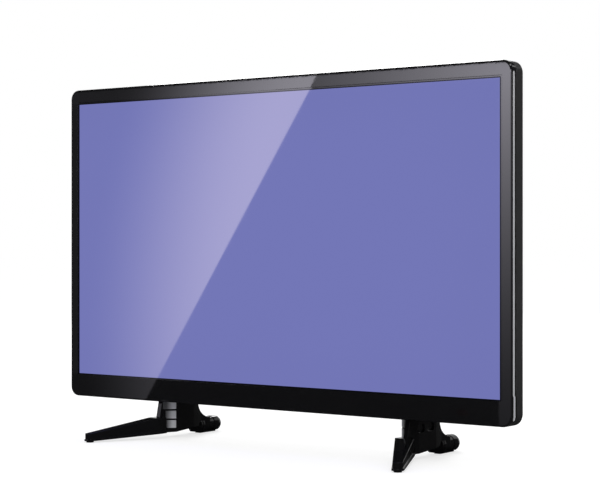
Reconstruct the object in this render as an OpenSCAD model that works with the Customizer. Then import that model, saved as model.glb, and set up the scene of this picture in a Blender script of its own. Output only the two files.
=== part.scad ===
// Flat screen television, 24-inch class, on two splayed legs.
// Millimetres, +Z up. The screen faces -Y; the origin lies on the table, midway between the feet.

/* [Screen] */
// Width of the lit picture area
screen_w = 521.3; // [480:0.1:600]
// Height of the lit picture area
screen_h = 293.2; // [285:0.1:340]
// Black border of the panel left showing round the picture
black_border = 1; // [0:0.1:2]
// Thickness of the liquid crystal panel
panel_t = 1.7; // [1.2:0.1:2.4]
// Depth of the light box between the diffuser and the lamps' floor
light_depth = 10.5; // [9.5:0.1:12]

/* [Front bezel] */
// Frame width at the left and right
bezel_side = 11.2; // [10.5:0.1:20]
// Frame width at the top
bezel_top = 14.6; // [10.5:0.1:20]
// Height of the chin under the picture
bezel_bottom = 24.5; // [24:0.1:40]
// Depth of the frame's side edge
bezel_depth = 8; // [7.5:0.1:10]
// Thickness of the frame's front face
bezel_lip = 1.8; // [1.2:0.1:2.5]
// Thickness of the frame's side walls
bezel_wall = 2.6; // [2.2:0.1:2.8]
// Corner radius of the body, seen from the front
corner_r = 10; // [6:0.5:16]
// Radius of the front face's outer edge
edge_round = 1.8; // [0.6:0.1:2.4]
// Bevel round the picture opening
window_bevel = 0.4; // [0.3:0.1:1.4]
// Width of the silver strip let into each side
trim_w = 3.2; // [2.4:0.1:4]
// Thickness of the silver strip
trim_t = 1.2; // [0.8:0.1:1.4]
// Step back of the seam and the strip beside the chin
chin_step = 1.2; // [0:0.1:3]

/* [Rear cover] */
// Depth at which the cover's side starts to turn in
edge_flat = 20; // [17:0.1:22]
// Depth of the flat part of the back
back_depth = 27.4; // [27:0.1:32]
// Wall thickness of the cover
cover_wall = 2.5; // [2:0.1:3]
// Width of the bulge's rear face
bulge_w = 410; // [390:1:430]
// Height of the bulge's rear face above the underside
bulge_h = 225; // [220:1:236]
// Depth of the bulge's rear face behind the front
bulge_depth = 62; // [58:0.5:75]
// Outward slope of the bulge's sides
side_flare = 25; // [10:1:28]
// Slope of the bulge's top
top_flare = 48; // [30:1:54]
// Corner radius of the bulge
bulge_r = 14; // [8:0.5:20]
// Rounding of the bulge's rear edge
bulge_round = 5; // [2:0.5:8]
// Width of a vent slot
slot_w = 3.2; // [2:0.1:4.5]
// Pitch of the vent slots
slot_pitch = 9; // [7:0.5:14]

/* [Stand] */
// Height of the body's underside over the table
stand_h = 39.6; // [36:0.1:60]
// Distance of each leg from the middle
leg_x = 151; // [149:0.5:160]
// Thickness of a leg's post
leg_t = 20.6; // [19:0.1:22]
// Front face of the post behind the screen
post_front = 12.5; // [12:0.5:18]
// Rear face of the post at its top
post_rear = 60; // [54:0.5:62]
// Bevel on the post's inner front edge that holds the inlay
leg_chamfer = 10.6; // [9:0.1:11]
// Reach of the toes ahead of the screen
foot_front = 65; // [50:1:110]
// Reach of the heels behind the screen
foot_rear = 106; // [96:1:140]
// Outward splay of the toes at their tips
toe_splay = 37; // [0:1:60]
// Width of a toe at its tip
toe_tip_w = 11.6; // [9:0.1:16]
// Height of a toe at its tip
toe_tip_h = 9.2; // [6:0.1:12]
// Height of a toe where it leaves the post
toe_root_h = 22; // [20:0.1:26]
// Height of the heel
heel_h = 17; // [15:0.1:20]
// Height of the arch under the post
arch_h = 9; // [6:0.1:12]
// Thickness of the rubber pads below the legs
pad_t = 1.5; // [0.8:0.1:2]

/* [Wall mount] */
// Hole spacing of the wall mount, both ways
wall_pitch = 100; // [75:1:100]
// Height of the wall mount's middle above the underside
wall_z = 133; // [130:1:140]
// Outer radius of a wall mount post
post_r = 4.5; // [4:0.1:5.5]
// Radius of the wall mount's threaded holes
wall_hole_r = 2; // [1.5:0.1:2.5]

/* [Keys] */
// Number of keys, fixed by what they do
key_count = 7; // [7:1:7]
// Width of a key
key_w = 9; // [6:0.1:11]
// Height of a key
key_h = 6; // [4:0.1:8]
// Pitch of the keys
key_pitch = 14; // [12:0.5:16]
// Travel of a key
key_travel = 0.5; // [0.3:0.05:0.8]

/* [Circuit boards] */
// Height of the main and power boards
board_h = 140; // [138:1:148]
// Height of the boards over the chassis
standoff_h = 10.8; // [9:0.1:13]
// Thickness of the boards
board_t = 1.6; // [1:0.1:2]

/* [Hidden] */

$fn = 48;
bezel_fn = 40;
shell_fn = 28;
toe_fn = 32;
lens_fn = 24;
edge_steps = 3;
sliver = 0.01;
over = 1;

// Clearances
seam = 0.2;
touch_gap = 0.1;
slip = 0.3;
screw_slip = 0.1;

// Body outline
front_y = (foot_front - foot_rear) / 2;
body_w = screen_w + 2 * bezel_side;
body_h = screen_h + bezel_top + bezel_bottom;
body_z0 = stand_h;
body_zc = body_z0 + body_h / 2;
screen_z0 = body_z0 + bezel_bottom;
screen_zc = screen_z0 + screen_h / 2;
seam_step_z = screen_z0 + 3;

// Silver side strip
trim_y0 = edge_round + 0.2;
trim_low = 7.3;
trim_high = 12.1;

// Layers of the screen, from the front
panel_edge = 4.8;
panel_y0 = bezel_lip + touch_gap;
ledge_t = 2;
ledge_y0 = panel_y0 + panel_t + touch_gap;
film_t = 0.5;
film_y0 = ledge_y0 + ledge_t + touch_gap;
diffuser_t = 1.5;
diffuser_y0 = film_y0 + film_t + touch_gap;
sheet_t = 0.8;
rim_y0 = diffuser_y0 + diffuser_t + touch_gap;
floor_y1 = rim_y0 + light_depth + sheet_t;
floor_y0 = floor_y1 - sheet_t;
frame_wall = 1.5;
frame_in_w = screen_w + 2 * panel_edge + slip;
frame_in_h = screen_h + 2 * panel_edge + slip;
frame_out_w = frame_in_w + 2 * frame_wall;
frame_out_h = frame_in_h + 2 * frame_wall;
frame_depth = rim_y0 + 3;
rim_w = frame_in_w - 2 * slip;
rim_h = frame_in_h - 2 * slip;
tray_mouth_w = rim_w - 18;
tray_mouth_h = rim_h - 8;
tray_floor_w = tray_mouth_w - 46;
tray_floor_h = tray_mouth_h - 38;
tray_z0 = screen_zc - tray_floor_h / 2;
tray_z1 = screen_zc + tray_floor_h / 2;
lip_in = bezel_wall + 0.15;
lip_t = 1.4;
lip_reach = 2.5;
lip_end = 1.5;

// Lamps
lamp_rows = 3;
lamp_count = 7;
lamp_bar_h = 14;
lamp_bar_t = 1.2;
lamp_pitch_x = tray_floor_w / lamp_count;
lamp_pitch_z = tray_floor_h / lamp_rows;
lens_r = 7.5;
lens_h = 5;
lens_dome = 2.2;
lamp_bar_inset = 15;
reflector_t = 0.4;
reflector_y1 = floor_y0 - lamp_bar_t - touch_gap;

// Rear cover
turn_w = 12;
back_in = back_depth - cover_wall;
bulge_in = bulge_depth - cover_wall;
bulge_y0 = edge_flat - 2;
top_vent_inset = 35;
top_vent_rise = 5;
low_vent_inset = 95;
low_vent_z = [28, 50];
well_x = bulge_w / 2 - 35;
recess_t = 0.8;
recess_edge = 16;
recess_r = 5;
field_at = [114, 112];
field_size = [72, 38];

// Circuit boards
board_y0 = floor_y1 + standoff_h;
board_y1 = board_y0 + board_t;
driver_h = 9;
driver_t = 1.2;
driver_z0 = tray_z0 + 2;
ribbon_w = 24;
ribbon_t = 0.6;
ribbon_y0 = floor_y1 + driver_t + 2.4;
ribbon_y1 = board_y1 + 3;
board_z0 = driver_z0 + driver_h + 4;
board_x0 = wall_pitch / 2 + post_r + 4;
board_x1 = well_x - cover_wall - seam;
board_inset = 5;
standoff_r = 3;
board_hole_r = 1.6;
screw_r = 1.4;
screw_head_r = 2.8;
screw_head_h = 1.8;
board_screw_bite = 5;
wall_zc = body_z0 + wall_z;
wall_post_y1 = bulge_depth - 0.4;
wall_hole_depth = 14;

// Ribbon plugs, chips and capacitors of the boards: place, then size
driver_reach = 70;
plug_x = -board_x0 - 30;
plug_w = ribbon_w + 4;
plug_h = 7;
plug_edge = 1;
ribbon_turn = 2;
processor_at = [44, 57];
processor_size = [22, 22, 2];
memory_at = [26, 60];
memory_size = [10, 14, 1.2];
flash_at = [30, 84];
flash_size = [6, 6, 1.6];
sound_at = [20, 110];
sound_size = [10, 8, 2];
cap_at = [14, 24];
cap_count = 4;
cap_pitch = 12;
cap_r = 4;
cap_h = 11;
sink_size = 30;
sink_base = 3;
sink_fins = 7;
fin_t = 1.4;
fin_h = 11;

// Power board: place from the board's lower inner corner, then size
transformer_at = [34, 78];
core_size = [32, 20, 10];
bobbin_size = [32, 3, 30];
winding_r = 12.5;
winding_h = 17;
bulk_at = [24, 92];
bulk_r = 11;
bulk_h = 24;
power_sink_at = [58, 44];
power_sink_size = [9, 22, 30];
power_sink_t = 2;

// Ports along the well, measured up from the boards' lower edge
antenna_up = 21;
jack_up = 40;
headphone_up = 78;
hdmi_up = 93;
usb_up = 125;
inlet_up = 26;
antenna_z = board_z0 + antenna_up;
jack_z = board_z0 + jack_up;
jack_pitch = 13;
headphone_z = board_z0 + headphone_up;
hdmi_z = board_z0 + hdmi_up;
hdmi_pitch = 16.5;
usb_z = board_z0 + usb_up;
inlet_z = board_z0 + inlet_up;
well_z0 = board_z0 - 2;
well_h = board_h;
mains_well_h = 56;
port_slip = 0.4;

// Sockets: width along Z, height along Y, depth along X
hdmi_size = [15, 6.2, 11.5];
usb_size = [13.2, 6.8, 14];
socket_wall = 0.5;
hdmi_tongue = 1;
usb_tongue = 1.8;
tongue_set_back = 1.5;
jack_r = 4.15;
jack_bore_r = 1.6;
jack_nose = 8;
jack_block = [11.4, 10.4, 12];
antenna_r = 4.8;
antenna_bore_r = 1.2;
antenna_nose = 9;
tuner_size = [24, 13, 42];
tuner_edge = 0.5;
headphone_r = 3;
headphone_bore_r = 1.8;
headphone_size = [10, 6, 12];
inlet_size = [24, 14, 18];
inlet_mouth = [16.4, 8.2];
inlet_depth = 11;
inlet_pin_r = 1.2;
inlet_pin_pitch = 8.6;

// Legs
leg_inner_x = leg_x - leg_t / 2;
leg_outer_x = leg_x + leg_t / 2;
leg_top = body_z0;
leg_bevel = [5, 8];
leg_taper = 8;
pocket_y = [25, 42];
pocket_z = leg_top - 9.5;
pocket_size = [12, 8];
pocket_r = 3.5;
pocket_depth = 1.5;
heel_front = 66;
heel_step = 0.5;
collar_w = 2.2;
collar_pitch = 3.6;
collar_grow = 1.1;
heel_cap = 7;
instep = 4.5;
instep_drop = 2;
toe_lip = 0.9;
toe_lip_h = 3.2;
toe_under = 5.5;
toe_knee = 11;
toe_join = 0.5;
toe_root_in = 5.6;
leg_screw_r = 1.95;
leg_screw_head_r = 3.7;
leg_screw_head_h = 3;
leg_seat = 8;
leg_screw_end = 3;
leg_screw_y = [post_front + 17.5, post_rear - 8];
tongue_w = 8;
tongue_y = [post_front + 23.5, post_rear - 14];
tongue_h = 2.2;
inlay_count = 3;
inlay_gap = 1.8;
inlay_z0 = arch_h + 1.6;
inlay_top = 1;
inlay_pitch = (leg_top - inlay_z0 - inlay_top + inlay_gap) / inlay_count;
inlay_edge = 0.5;
inlay_w = leg_chamfer * sqrt(2) - 2 * inlay_edge;
inlay_cut = [4, 3, 0];
inlay_pocket = 1.4;
inlay_proud = 0.6;
pad_sink = 1;
toe_tip_y = -foot_front + toe_tip_w / 2;
toe_tip_x = leg_x + toe_splay;
toe_pad_r = 3.8;
heel_pad_w = 7;
heel_pad_y = [heel_front + 5, foot_rear - 9];
bracket_w = 28;
bracket_t = 2;
bracket_z0 = body_z0 + cover_wall + touch_gap;
bracket_z1 = tray_z0 + 8;
bracket_y1 = bulge_in - touch_gap;
bracket_gusset = 14;

// Speakers
speaker_w = 78;
speaker_d = 26;
speaker_h = 24;
speaker_x = leg_x - bracket_w / 2 - speaker_w / 2 - 13;
speaker_y = 41;
speaker_z0 = body_z0 + cover_wall + touch_gap;
speaker_slots = 9;
speaker_slot_pitch = 6;
speaker_slot_end = 4;
cone_r = 10.5;
cone_play = 1;
cone_rim = 0.8;
cone_h = 5;
magnet_r = 5;
magnet_h = 11;

// Screws through the cover
chin_screw = [body_w / 2 - 24, body_z0 + 11.5];
top_screw_x = 200;
top_screw_z = tray_z1 - 8;
deep_screw = [bulge_w / 2 - 20, body_z0 + bulge_h - 14];
cover_boss_r = 5;
cover_seat = 3;
cover_hole_r = 1.8;
cover_head_r = 3.2;
cover_head_h = 2;
deep_seat_y = bulge_depth - 8;
deep_boss_r = 5.5;
chin_boss_y1 = back_in - 3;
chin_screw_len = 12;

// Keys
key_x = body_w / 2 - 26;
key_row_z = 175;
key_zc = body_z0 + key_row_z;
key_proud = 0.8;
key_flange = 1;
key_flange_t = 1.6;
key_slip = 0.3;
key_r = 1.5;
switch_size = 6;
switch_y1 = back_in - key_flange_t - key_travel - touch_gap;
switch_t = 3;
plunger_r = 1.6;
plunger_h = 1;
key_board_t = 1.2;
key_board_y0 = switch_y1 - switch_t - key_board_t;
key_board_w = 13;
key_board_len = (key_count - 1) * key_pitch + 28;
key_boss_r = 2.5;
key_boss_z = key_board_len / 2 - 5;

// Infrared receiver
window_w = 12;
window_h = 5;
window_x = screen_w / 2 - 40;
window_z = body_z0 + bezel_wall + 8.4;
window_t = 4;
ir_board = [30, 11];
ir_board_y0 = window_t + 5;
ir_board_t = 1.2;
ir_pin_r = 1.5;
ir_pin_inset = 3;
ir_sensor = [6, 7];
window_flange = 1.2;

// A flat outline on the X-Z plane made into a plate between two depths.
module plate(y0, y1) {
    translate([0, y1, 0])
        rotate([90, 0, 0])
            linear_extrude(y1 - y0)
                children();
}

// A side-view outline on the Y-Z plane carried across between two widths.
module across(x0, x1) {
    translate([x0, 0, 0])
        rotate([90, 0, 90])
            linear_extrude(x1 - x0)
                children();
}

module rod_y(x, z, y0, y1, r) {
    translate([x, y0, z])
        rotate([-90, 0, 0])
            cylinder(h = y1 - y0, r = r);
}

module rod_x(y, z, x0, x1, r) {
    translate([x0, y, z])
        rotate([0, 90, 0])
            cylinder(h = x1 - x0, r = r);
}

module rod_z(x, y, z0, z1, r) {
    translate([x, y, z0])
        cylinder(h = z1 - z0, r = r);
}

module box(x0, x1, y0, y1, z0, z1) {
    translate([x0, y0, z0])
        cube([x1 - x0, y1 - y0, z1 - z0]);
}

// Everything above is measured from the front face of the bezel.
module in_body() {
    translate([0, front_y, 0])
        children();
}

module rounded(w, h, r) {
    square([w - 2 * r, h], center = true);
    square([w, h - 2 * r], center = true);
    for (sx = [-1, 1])
        for (sz = [-1, 1])
            translate([sx * (w / 2 - r), sz * (h / 2 - r)])
                circle(r);
}

module body_outline(inset) {
    r = max(corner_r - 0.7 * inset, 1.5);
    translate([0, body_zc])
        rounded(body_w - 2 * inset, body_h - 2 * inset, r);
}

module screen_outline(extra) {
    translate([0, screen_zc])
        square([screen_w + 2 * extra, screen_h + 2 * extra], center = true);
}

module screen_rect(w, h) {
    translate([0, screen_zc])
        square([w, h], center = true);
}

// Region of the front bezel seen from the side; the seam steps back beside the chin.
module bezel_side_view(gap) {
    z0 = body_z0 - over;
    z1 = body_z0 + body_h + over;
    y1 = bezel_depth + gap;
    polygon([
        [-over, z0],
        [y1 + chin_step, z0],
        [y1 + chin_step, seam_step_z],
        [y1, seam_step_z + chin_step],
        [y1, z1],
        [-over, z1]
    ]);
}

// Strip outline seen from the side, with the same step as the seam and rounded ends.
module trim_side_view(grow) {
    r = trim_w / 2;
    z0 = body_z0 + trim_low;
    z1 = body_z0 + body_h - trim_high;
    low = trim_y0 + chin_step;
    polygon([
        [low - grow, z0],
        [low + trim_w + grow, z0],
        [low + trim_w + grow, seam_step_z],
        [trim_y0 + trim_w + grow, seam_step_z + chin_step],
        [trim_y0 + trim_w + grow, z1],
        [trim_y0 - grow, z1],
        [trim_y0 - grow, seam_step_z + chin_step],
        [low - grow, seam_step_z]
    ]);
    translate([trim_y0 + r, z1])
        circle(r + grow);
    translate([low + r, z0])
        circle(r + grow);
}

// Band on both sides of the body that the strips fill; it follows the round corners.
module trim_band(out, grow) {
    intersection() {
        across(-body_w, body_w)
            trim_side_view(grow);
        plate(-over, bezel_depth + chin_step + over)
            difference() {
                body_outline(-out);
                body_outline(trim_t);
            }
    }
}

module bezel_shell() {
    intersection() {
        hull() {
            for (i = [0:edge_steps]) {
                a = 90 * i / edge_steps;
                plate(edge_round * (1 - cos(a)), bezel_depth + chin_step)
                    body_outline(edge_round * (1 - sin(a)), $fn = bezel_fn);
            }
        }
        across(-body_w, body_w)
            bezel_side_view(0);
    }
}

module front_bezel() {
    inner = screen_w + 2 * black_border;
    inner_h = screen_h + 2 * black_border;
    color([0.02, 0.02, 0.022])
        in_body() {
            difference() {
                bezel_shell();
                plate(bezel_lip, bezel_depth + chin_step + over)
                    body_outline(bezel_wall);
                plate(-over, bezel_lip + over)
                    screen_rect(inner, inner_h);
                hull() {
                    plate(-sliver, 0)
                        screen_rect(inner + 2 * window_bevel, inner_h + 2 * window_bevel);
                    plate(window_bevel, window_bevel + sliver)
                        screen_rect(inner, inner_h);
                }
                trim_band(over, touch_gap / 2);
                plate(-over, bezel_lip + over)
                    window_outline(touch_gap);
            }
            for (s = [-1, 1])
                difference() {
                    rod_y(s * chin_screw[0], chin_screw[1], bezel_lip / 2, chin_boss_y1, cover_boss_r - 1);
                    rod_y(s * chin_screw[0], chin_screw[1], bezel_lip + 2, chin_boss_y1 + over, screw_r + screw_slip);
                }
            for (s = [-1, 1])
                rod_y(window_x + s * (ir_board[0] / 2 - ir_pin_inset), window_z, bezel_lip / 2, ir_board_y0, ir_pin_r);
        }
}

module side_trim(s) {
    color([0.78, 0.79, 0.8])
        in_body()
            intersection() {
                trim_band(0, 0);
                mirror([s < 0 ? 1 : 0, 0, 0])
                    box(0, body_w, -over, bezel_depth + chin_step + over, 0, body_z0 + body_h);
            }
}

module side_trim_left() { side_trim(-1); }

module side_trim_right() { side_trim(1); }

// Outer or inner surface of the moulded cover's shallow part.
module cover_body(inset, back) {
    depth = back - edge_flat;
    hull() {
        for (i = [0:edge_steps]) {
            a = 90 * i / edge_steps;
            plate(bezel_depth - lip_reach, edge_flat + depth * sin(a))
                body_outline(inset + turn_w * (1 - cos(a)), $fn = shell_fn);
        }
    }
}

// Bulge for the boards, legs and speakers: sloped sides and top, flat underside.
module bulge_layer(y, flare, inset, up) {
    w = bulge_w + 2 * side_flare * flare - 2 * inset;
    h = bulge_h + top_flare * flare - inset - up;
    plate(bulge_y0 - 1, y)
        translate([0, body_z0 + up + h / 2])
            rounded(w, h, bulge_r, $fn = shell_fn);
}

module bulge(inset) {
    steps = 2;
    hull() {
        bulge_layer(bulge_y0, 1, inset, inset);
        for (i = [0:steps]) {
            a = 90 * i / steps;
            in = inset + bulge_round * (1 - cos(a));
            bulge_layer(bulge_depth - inset - bulge_round * (1 - sin(a)), 0, in, in);
        }
    }
}

// Side well in which the sockets face outwards; s is the side and grow adds the wall.
module well(s, z0, h, grow) {
    x1 = bulge_w / 2 + side_flare + over;
    mirror([s < 0 ? 1 : 0, 0, 0])
        box(well_x - grow, x1, back_depth - grow, bulge_depth + over, z0 - grow, z0 + h + grow);
}

module slot_outline(x, z0, z1) {
    r = slot_w / 2;
    translate([x - r, z0 + r])
        square([slot_w, z1 - z0 - slot_w]);
    translate([x, z0 + r])
        circle(r);
    translate([x, z1 - r])
        circle(r);
}

module vent_row(span, z0, z1) {
    n = floor(span / slot_pitch / 2);
    for (i = [-n:n])
        slot_outline(i * slot_pitch, z0, z1);
}

module cover_vents() {
    top_z = body_z0 + bulge_h;
    plate(bulge_y0, bulge_depth + over) {
        vent_row(bulge_w - 2 * top_vent_inset, top_z + top_vent_rise, top_z + 0.7 * top_flare);
        vent_row(bulge_w - 2 * low_vent_inset, body_z0 + low_vent_z[0], body_z0 + low_vent_z[1]);
    }
}

module speaker_vents() {
    half = speaker_d / 2 - speaker_slot_end;
    for (s = [-1, 1])
        for (i = [0:speaker_slots - 1])
            translate([s * speaker_x + (i - (speaker_slots - 1) / 2) * speaker_slot_pitch, speaker_y, body_z0 - over])
                linear_extrude(cover_wall + 2 * over)
                    translate([0, -half])
                        slot_outline(0, 0, 2 * half);
}

module port_cuts() {
    x0 = -well_x - over;
    x1 = -well_x + cover_wall + over;
    rod_x(port_y(tuner_size), antenna_z, x0, x1, antenna_r + port_slip);
    for (i = [0:2])
        rod_x(port_y(jack_block), jack_z + i * jack_pitch, x0, x1, jack_r + port_slip);
    rod_x(port_y(headphone_size), headphone_z, x0, x1, headphone_r + port_slip);
    for (i = [0:1])
        socket_cut(x0, x1, hdmi_z + i * hdmi_pitch, hdmi_size);
    socket_cut(x0, x1, usb_z, usb_size);
    box(well_x - cover_wall - over, well_x + over,
        board_y1 - touch_gap, board_y1 + inlet_size[1] + port_slip,
        inlet_z - inlet_size[0] / 2 - port_slip, inlet_z + inlet_size[0] / 2 + port_slip);
}

function port_y(size) = board_y1 + size[1] / 2;

module socket_cut(x0, x1, z, size) {
    box(x0, x1, board_y1 - touch_gap, board_y1 + size[1] + port_slip,
        z - size[0] / 2 - port_slip, z + size[0] / 2 + port_slip);
}

module cover_screw_bore(x, z, y0, seat, y1) {
    rod_y(x, z, y0 - over, y1 + over, cover_hole_r);
    rod_y(x, z, seat, y1 + over, cover_head_r + slip);
}

// Hollow moulding, cut back at the seam.
module cover_shell() {
    difference() {
        union() {
            cover_body(0, back_depth);
            bulge(0);
        }
        cover_body(cover_wall, back_in);
        bulge(cover_wall);
        across(-body_w, body_w)
            bezel_side_view(seam);
    }
    intersection() {
        bulge(0);
        union() {
            well(-1, well_z0, well_h, cover_wall);
            well(1, well_z0, mains_well_h, cover_wall);
        }
    }
}

// Inner lip that slides into the bezel and lines up the seam; it stops short of the corners.
module cover_lip() {
    y0 = bezel_depth - lip_reach;
    y1 = bezel_depth + chin_step + lip_reach;
    corner = corner_r + lip_end;
    difference() {
        plate(y0, y1)
            body_outline(lip_in);
        plate(y0 - over, y1 + over)
            body_outline(lip_in + lip_t);
        for (s = [-1, 1])
            for (t = [-1, 1])
                plate(y0 - over, y1 - lip_t / 2)
                    translate([s * body_w / 2, body_zc + t * body_h / 2])
                        square(2 * corner, center = true);
    }
    difference() {
        plate(y1 - lip_t, y1)
            body_outline(cover_wall / 2);
        plate(y1 - lip_t - over, y1 + over)
            body_outline(lip_in + lip_t);
    }
}

module cover_bosses() {
    for (x = [-top_screw_x, 0, top_screw_x])
        rod_y(x, top_screw_z, floor_y1 + touch_gap, back_in + 1, cover_boss_r);
    for (s = [-1, 1]) {
        rod_y(s * chin_screw[0], chin_screw[1], chin_boss_y1 + touch_gap, back_in + 1, cover_boss_r);
        rod_y(s * deep_screw[0], deep_screw[1], floor_y1 + touch_gap, bulge_in + 1, deep_boss_r);
        rod_y(key_x, key_zc + s * key_boss_z, key_board_y0 + key_board_t, back_in + 1, key_boss_r);
    }
}

module cover_screw_bores() {
    seat = back_depth - cover_seat;
    for (x = [-top_screw_x, 0, top_screw_x])
        cover_screw_bore(x, top_screw_z, floor_y1, seat, back_depth);
    for (s = [-1, 1]) {
        cover_screw_bore(s * chin_screw[0], chin_screw[1], chin_boss_y1, seat, back_depth);
        cover_screw_bore(s * deep_screw[0], deep_screw[1], floor_y1, deep_seat_y, bulge_depth);
    }
}

module wall_mount_holes() {
    for (s = [-1, 1])
        for (t = [-1, 1])
            rod_y(s * wall_pitch / 2, wall_zc + t * wall_pitch / 2,
                  bulge_in - over, bulge_depth + over, post_r + slip);
}

// Shallow recesses in the bulge's rear face: round the wall mount, and a blank field beside it.
module face_recesses() {
    plate(bulge_depth - recess_t, bulge_depth + over) {
        translate([0, wall_zc])
            rounded(wall_pitch + 2 * recess_edge, wall_pitch + 2 * recess_edge, recess_r);
        translate([field_at[0], body_z0 + field_at[1]])
            rounded(field_size[0], field_size[1], recess_r);
    }
}

module leg_sockets() {
    z0 = body_z0 - over;
    z1 = body_z0 + cover_wall + over;
    for (s = [-1, 1]) {
        for (y = leg_screw_y)
            rod_z(s * leg_x, y, z0, z1, leg_screw_r + slip);
        box(s * leg_x - tongue_w / 2 - slip, s * leg_x + tongue_w / 2 + slip,
            tongue_y[0] - slip, tongue_y[1] + slip, z0, z1);
    }
}

module key_holes() {
    for (i = [0:key_count - 1])
        plate(back_in - over, back_depth + over)
            translate([key_x, key_z(i)])
                rounded(key_w + 2 * key_slip, key_h + 2 * key_slip, key_r);
}

module rear_cover() {
    color([0.07, 0.07, 0.075])
        in_body()
            difference() {
                union() {
                    cover_shell();
                    cover_lip();
                    cover_bosses();
                }
                well(-1, well_z0, well_h, 0);
                well(1, well_z0, mains_well_h, 0);
                cover_vents();
                speaker_vents();
                port_cuts();
                cover_screw_bores();
                wall_mount_holes();
                face_recesses();
                leg_sockets();
                key_holes();
            }
}

function key_z(i) = key_zc + (i - (key_count - 1) / 2) * key_pitch;

// Round-headed screw along Y with its head at the back.
module screw_y(x, z, seat, len, r, head_r, head_h) {
    rod_y(x, z, seat - len, seat, r);
    rod_y(x, z, seat, seat + head_h, head_r);
}

module cover_screws() {
    seat = back_depth - cover_seat;
    color([0.2, 0.2, 0.21])
        in_body() {
            for (x = [-top_screw_x, 0, top_screw_x])
                screw_y(x, top_screw_z, seat, seat - floor_y1 + sheet_t, screw_r, cover_head_r, cover_head_h);
            for (s = [-1, 1]) {
                screw_y(s * chin_screw[0], chin_screw[1], seat, chin_screw_len, screw_r, cover_head_r, cover_head_h);
                screw_y(s * deep_screw[0], deep_screw[1], deep_seat_y, deep_seat_y - floor_y1 + sheet_t,
                        screw_r, cover_head_r, cover_head_h);
            }
        }
}

// Plan of the post: both front edges bevelled, narrowing to the heel's width at the rear.
module leg_plan() {
    half = heel_h / 2 - heel_step;
    polygon([
        [leg_inner_x, post_front + leg_chamfer],
        [leg_inner_x + leg_chamfer, post_front],
        [leg_outer_x - leg_bevel[0], post_front],
        [leg_outer_x, post_front + leg_bevel[1]],
        [leg_outer_x, post_rear - leg_taper],
        [leg_x + half, heel_front],
        [leg_x + half, foot_rear],
        [leg_x - half, foot_rear],
        [leg_x - half, heel_front],
        [leg_inner_x, post_rear - leg_taper]
    ]);
}

// Side view of the post sweeping down over the heel, with a shallow arch below.
module leg_side_view() {
    sweep = leg_top - heel_h;
    y1 = post_rear + sweep;
    difference() {
        polygon([
            [post_front, toe_under],
            [post_rear, arch_h],
            [y1, arch_h],
            [y1, leg_top],
            [post_front, leg_top]
        ]);
        translate([y1, leg_top])
            circle(sweep);
    }
}

// Round bar with two collars at its front and a ball-ended cap, cut flat over the pad.
module heel() {
    r = heel_h / 2;
    cap_y = foot_rear - r;
    difference() {
        union() {
            rod_y(leg_x, r, heel_front, cap_y, r - heel_step);
            for (i = [0:1])
                rod_y(leg_x, r, heel_front + i * collar_pitch, heel_front + i * collar_pitch + collar_w,
                      r + collar_grow);
            rod_y(leg_x, r, cap_y - heel_cap, cap_y, r);
            translate([leg_x, cap_y, r])
                sphere(r);
        }
        box(leg_x - heel_h, leg_x + heel_h, heel_front - over, foot_rear + over, -heel_h, pad_t);
    }
}

// Shallow pockets in the outer face of the post.
module leg_pockets() {
    across(leg_outer_x - pocket_depth, leg_outer_x + over)
        for (y = pocket_y)
            translate([y, pocket_z])
                rounded(pocket_size[0], pocket_size[1], pocket_r);
}

// Front of the post leaning forward over the root of the toe.
module leg_instep() {
    across(leg_inner_x + leg_chamfer, leg_outer_x - leg_bevel[0])
        polygon([
            [post_front, leg_top],
            [post_front - instep, toe_root_h - instep_drop],
            [post_front - instep, toe_under + instep_drop],
            [post_front + over, toe_under + instep_drop],
            [post_front + over, leg_top]
        ]);
}

// One layer of the toe from its root ahead of the post to its round tip.
module toe_layer(grow, root_z0, root_z1, tip_z0, tip_z1) {
    hull() {
        box(leg_inner_x + toe_root_in - grow, leg_outer_x - toe_join + grow,
            post_front - toe_knee, post_front + toe_join, root_z0, root_z1);
        rod_z(toe_tip_x, toe_tip_y, tip_z0, tip_z1, toe_tip_w / 2 - toe_lip + grow, $fn = toe_fn);
    }
}

module inlay_bars(grow, front, back) {
    h = inlay_pitch - inlay_gap;
    for (i = [0:inlay_count - 1])
        translate([leg_inner_x + leg_chamfer / 2, post_front + leg_chamfer / 2, inlay_z0 + i * inlay_pitch])
            rotate([0, 0, -45])
                translate([-inlay_w / 2 - grow, -front, -grow])
                    cube([inlay_w - inlay_cut[i] + 2 * grow, front + back, h + 2 * grow]);
}

module leg_body() {
    difference() {
        union() {
            intersection() {
                linear_extrude(leg_top + over)
                    leg_plan();
                across(0, 2 * leg_x)
                    leg_side_view();
            }
            heel();
            leg_instep();
            toe_layer(0, toe_under, toe_root_h, pad_t, toe_tip_h);
            toe_layer(toe_lip, toe_under, toe_under + toe_lip_h, pad_t, pad_t + toe_lip_h / 2);
            box(leg_x - tongue_w / 2, leg_x + tongue_w / 2, tongue_y[0], tongue_y[1],
                leg_top - over, leg_top + tongue_h);
        }
        inlay_bars(touch_gap / 2, over, inlay_pocket);
        leg_pockets();
        for (y = leg_screw_y) {
            rod_z(leg_x, y, 0, leg_top - leg_seat, leg_screw_head_r + slip);
            rod_z(leg_x, y, 0, leg_top + over, leg_screw_r + slip);
        }
        leg_pad_set(touch_gap);
    }
}

module leg_pad_set(grow) {
    z1 = pad_t + pad_sink + (grow > 0 ? touch_gap : 0);
    rod_z(toe_tip_x, toe_tip_y, 0, z1, toe_pad_r + grow);
    box(leg_x - heel_pad_w / 2 - grow, leg_x + heel_pad_w / 2 + grow,
        heel_pad_y[0] - grow, heel_pad_y[1] + grow, 0, z1);
}

module on_side(s) {
    in_body()
        mirror([s < 0 ? 1 : 0, 0, 0])
            children();
}

module leg_left() { color([0.03, 0.03, 0.033]) on_side(-1) leg_body(); }

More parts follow.
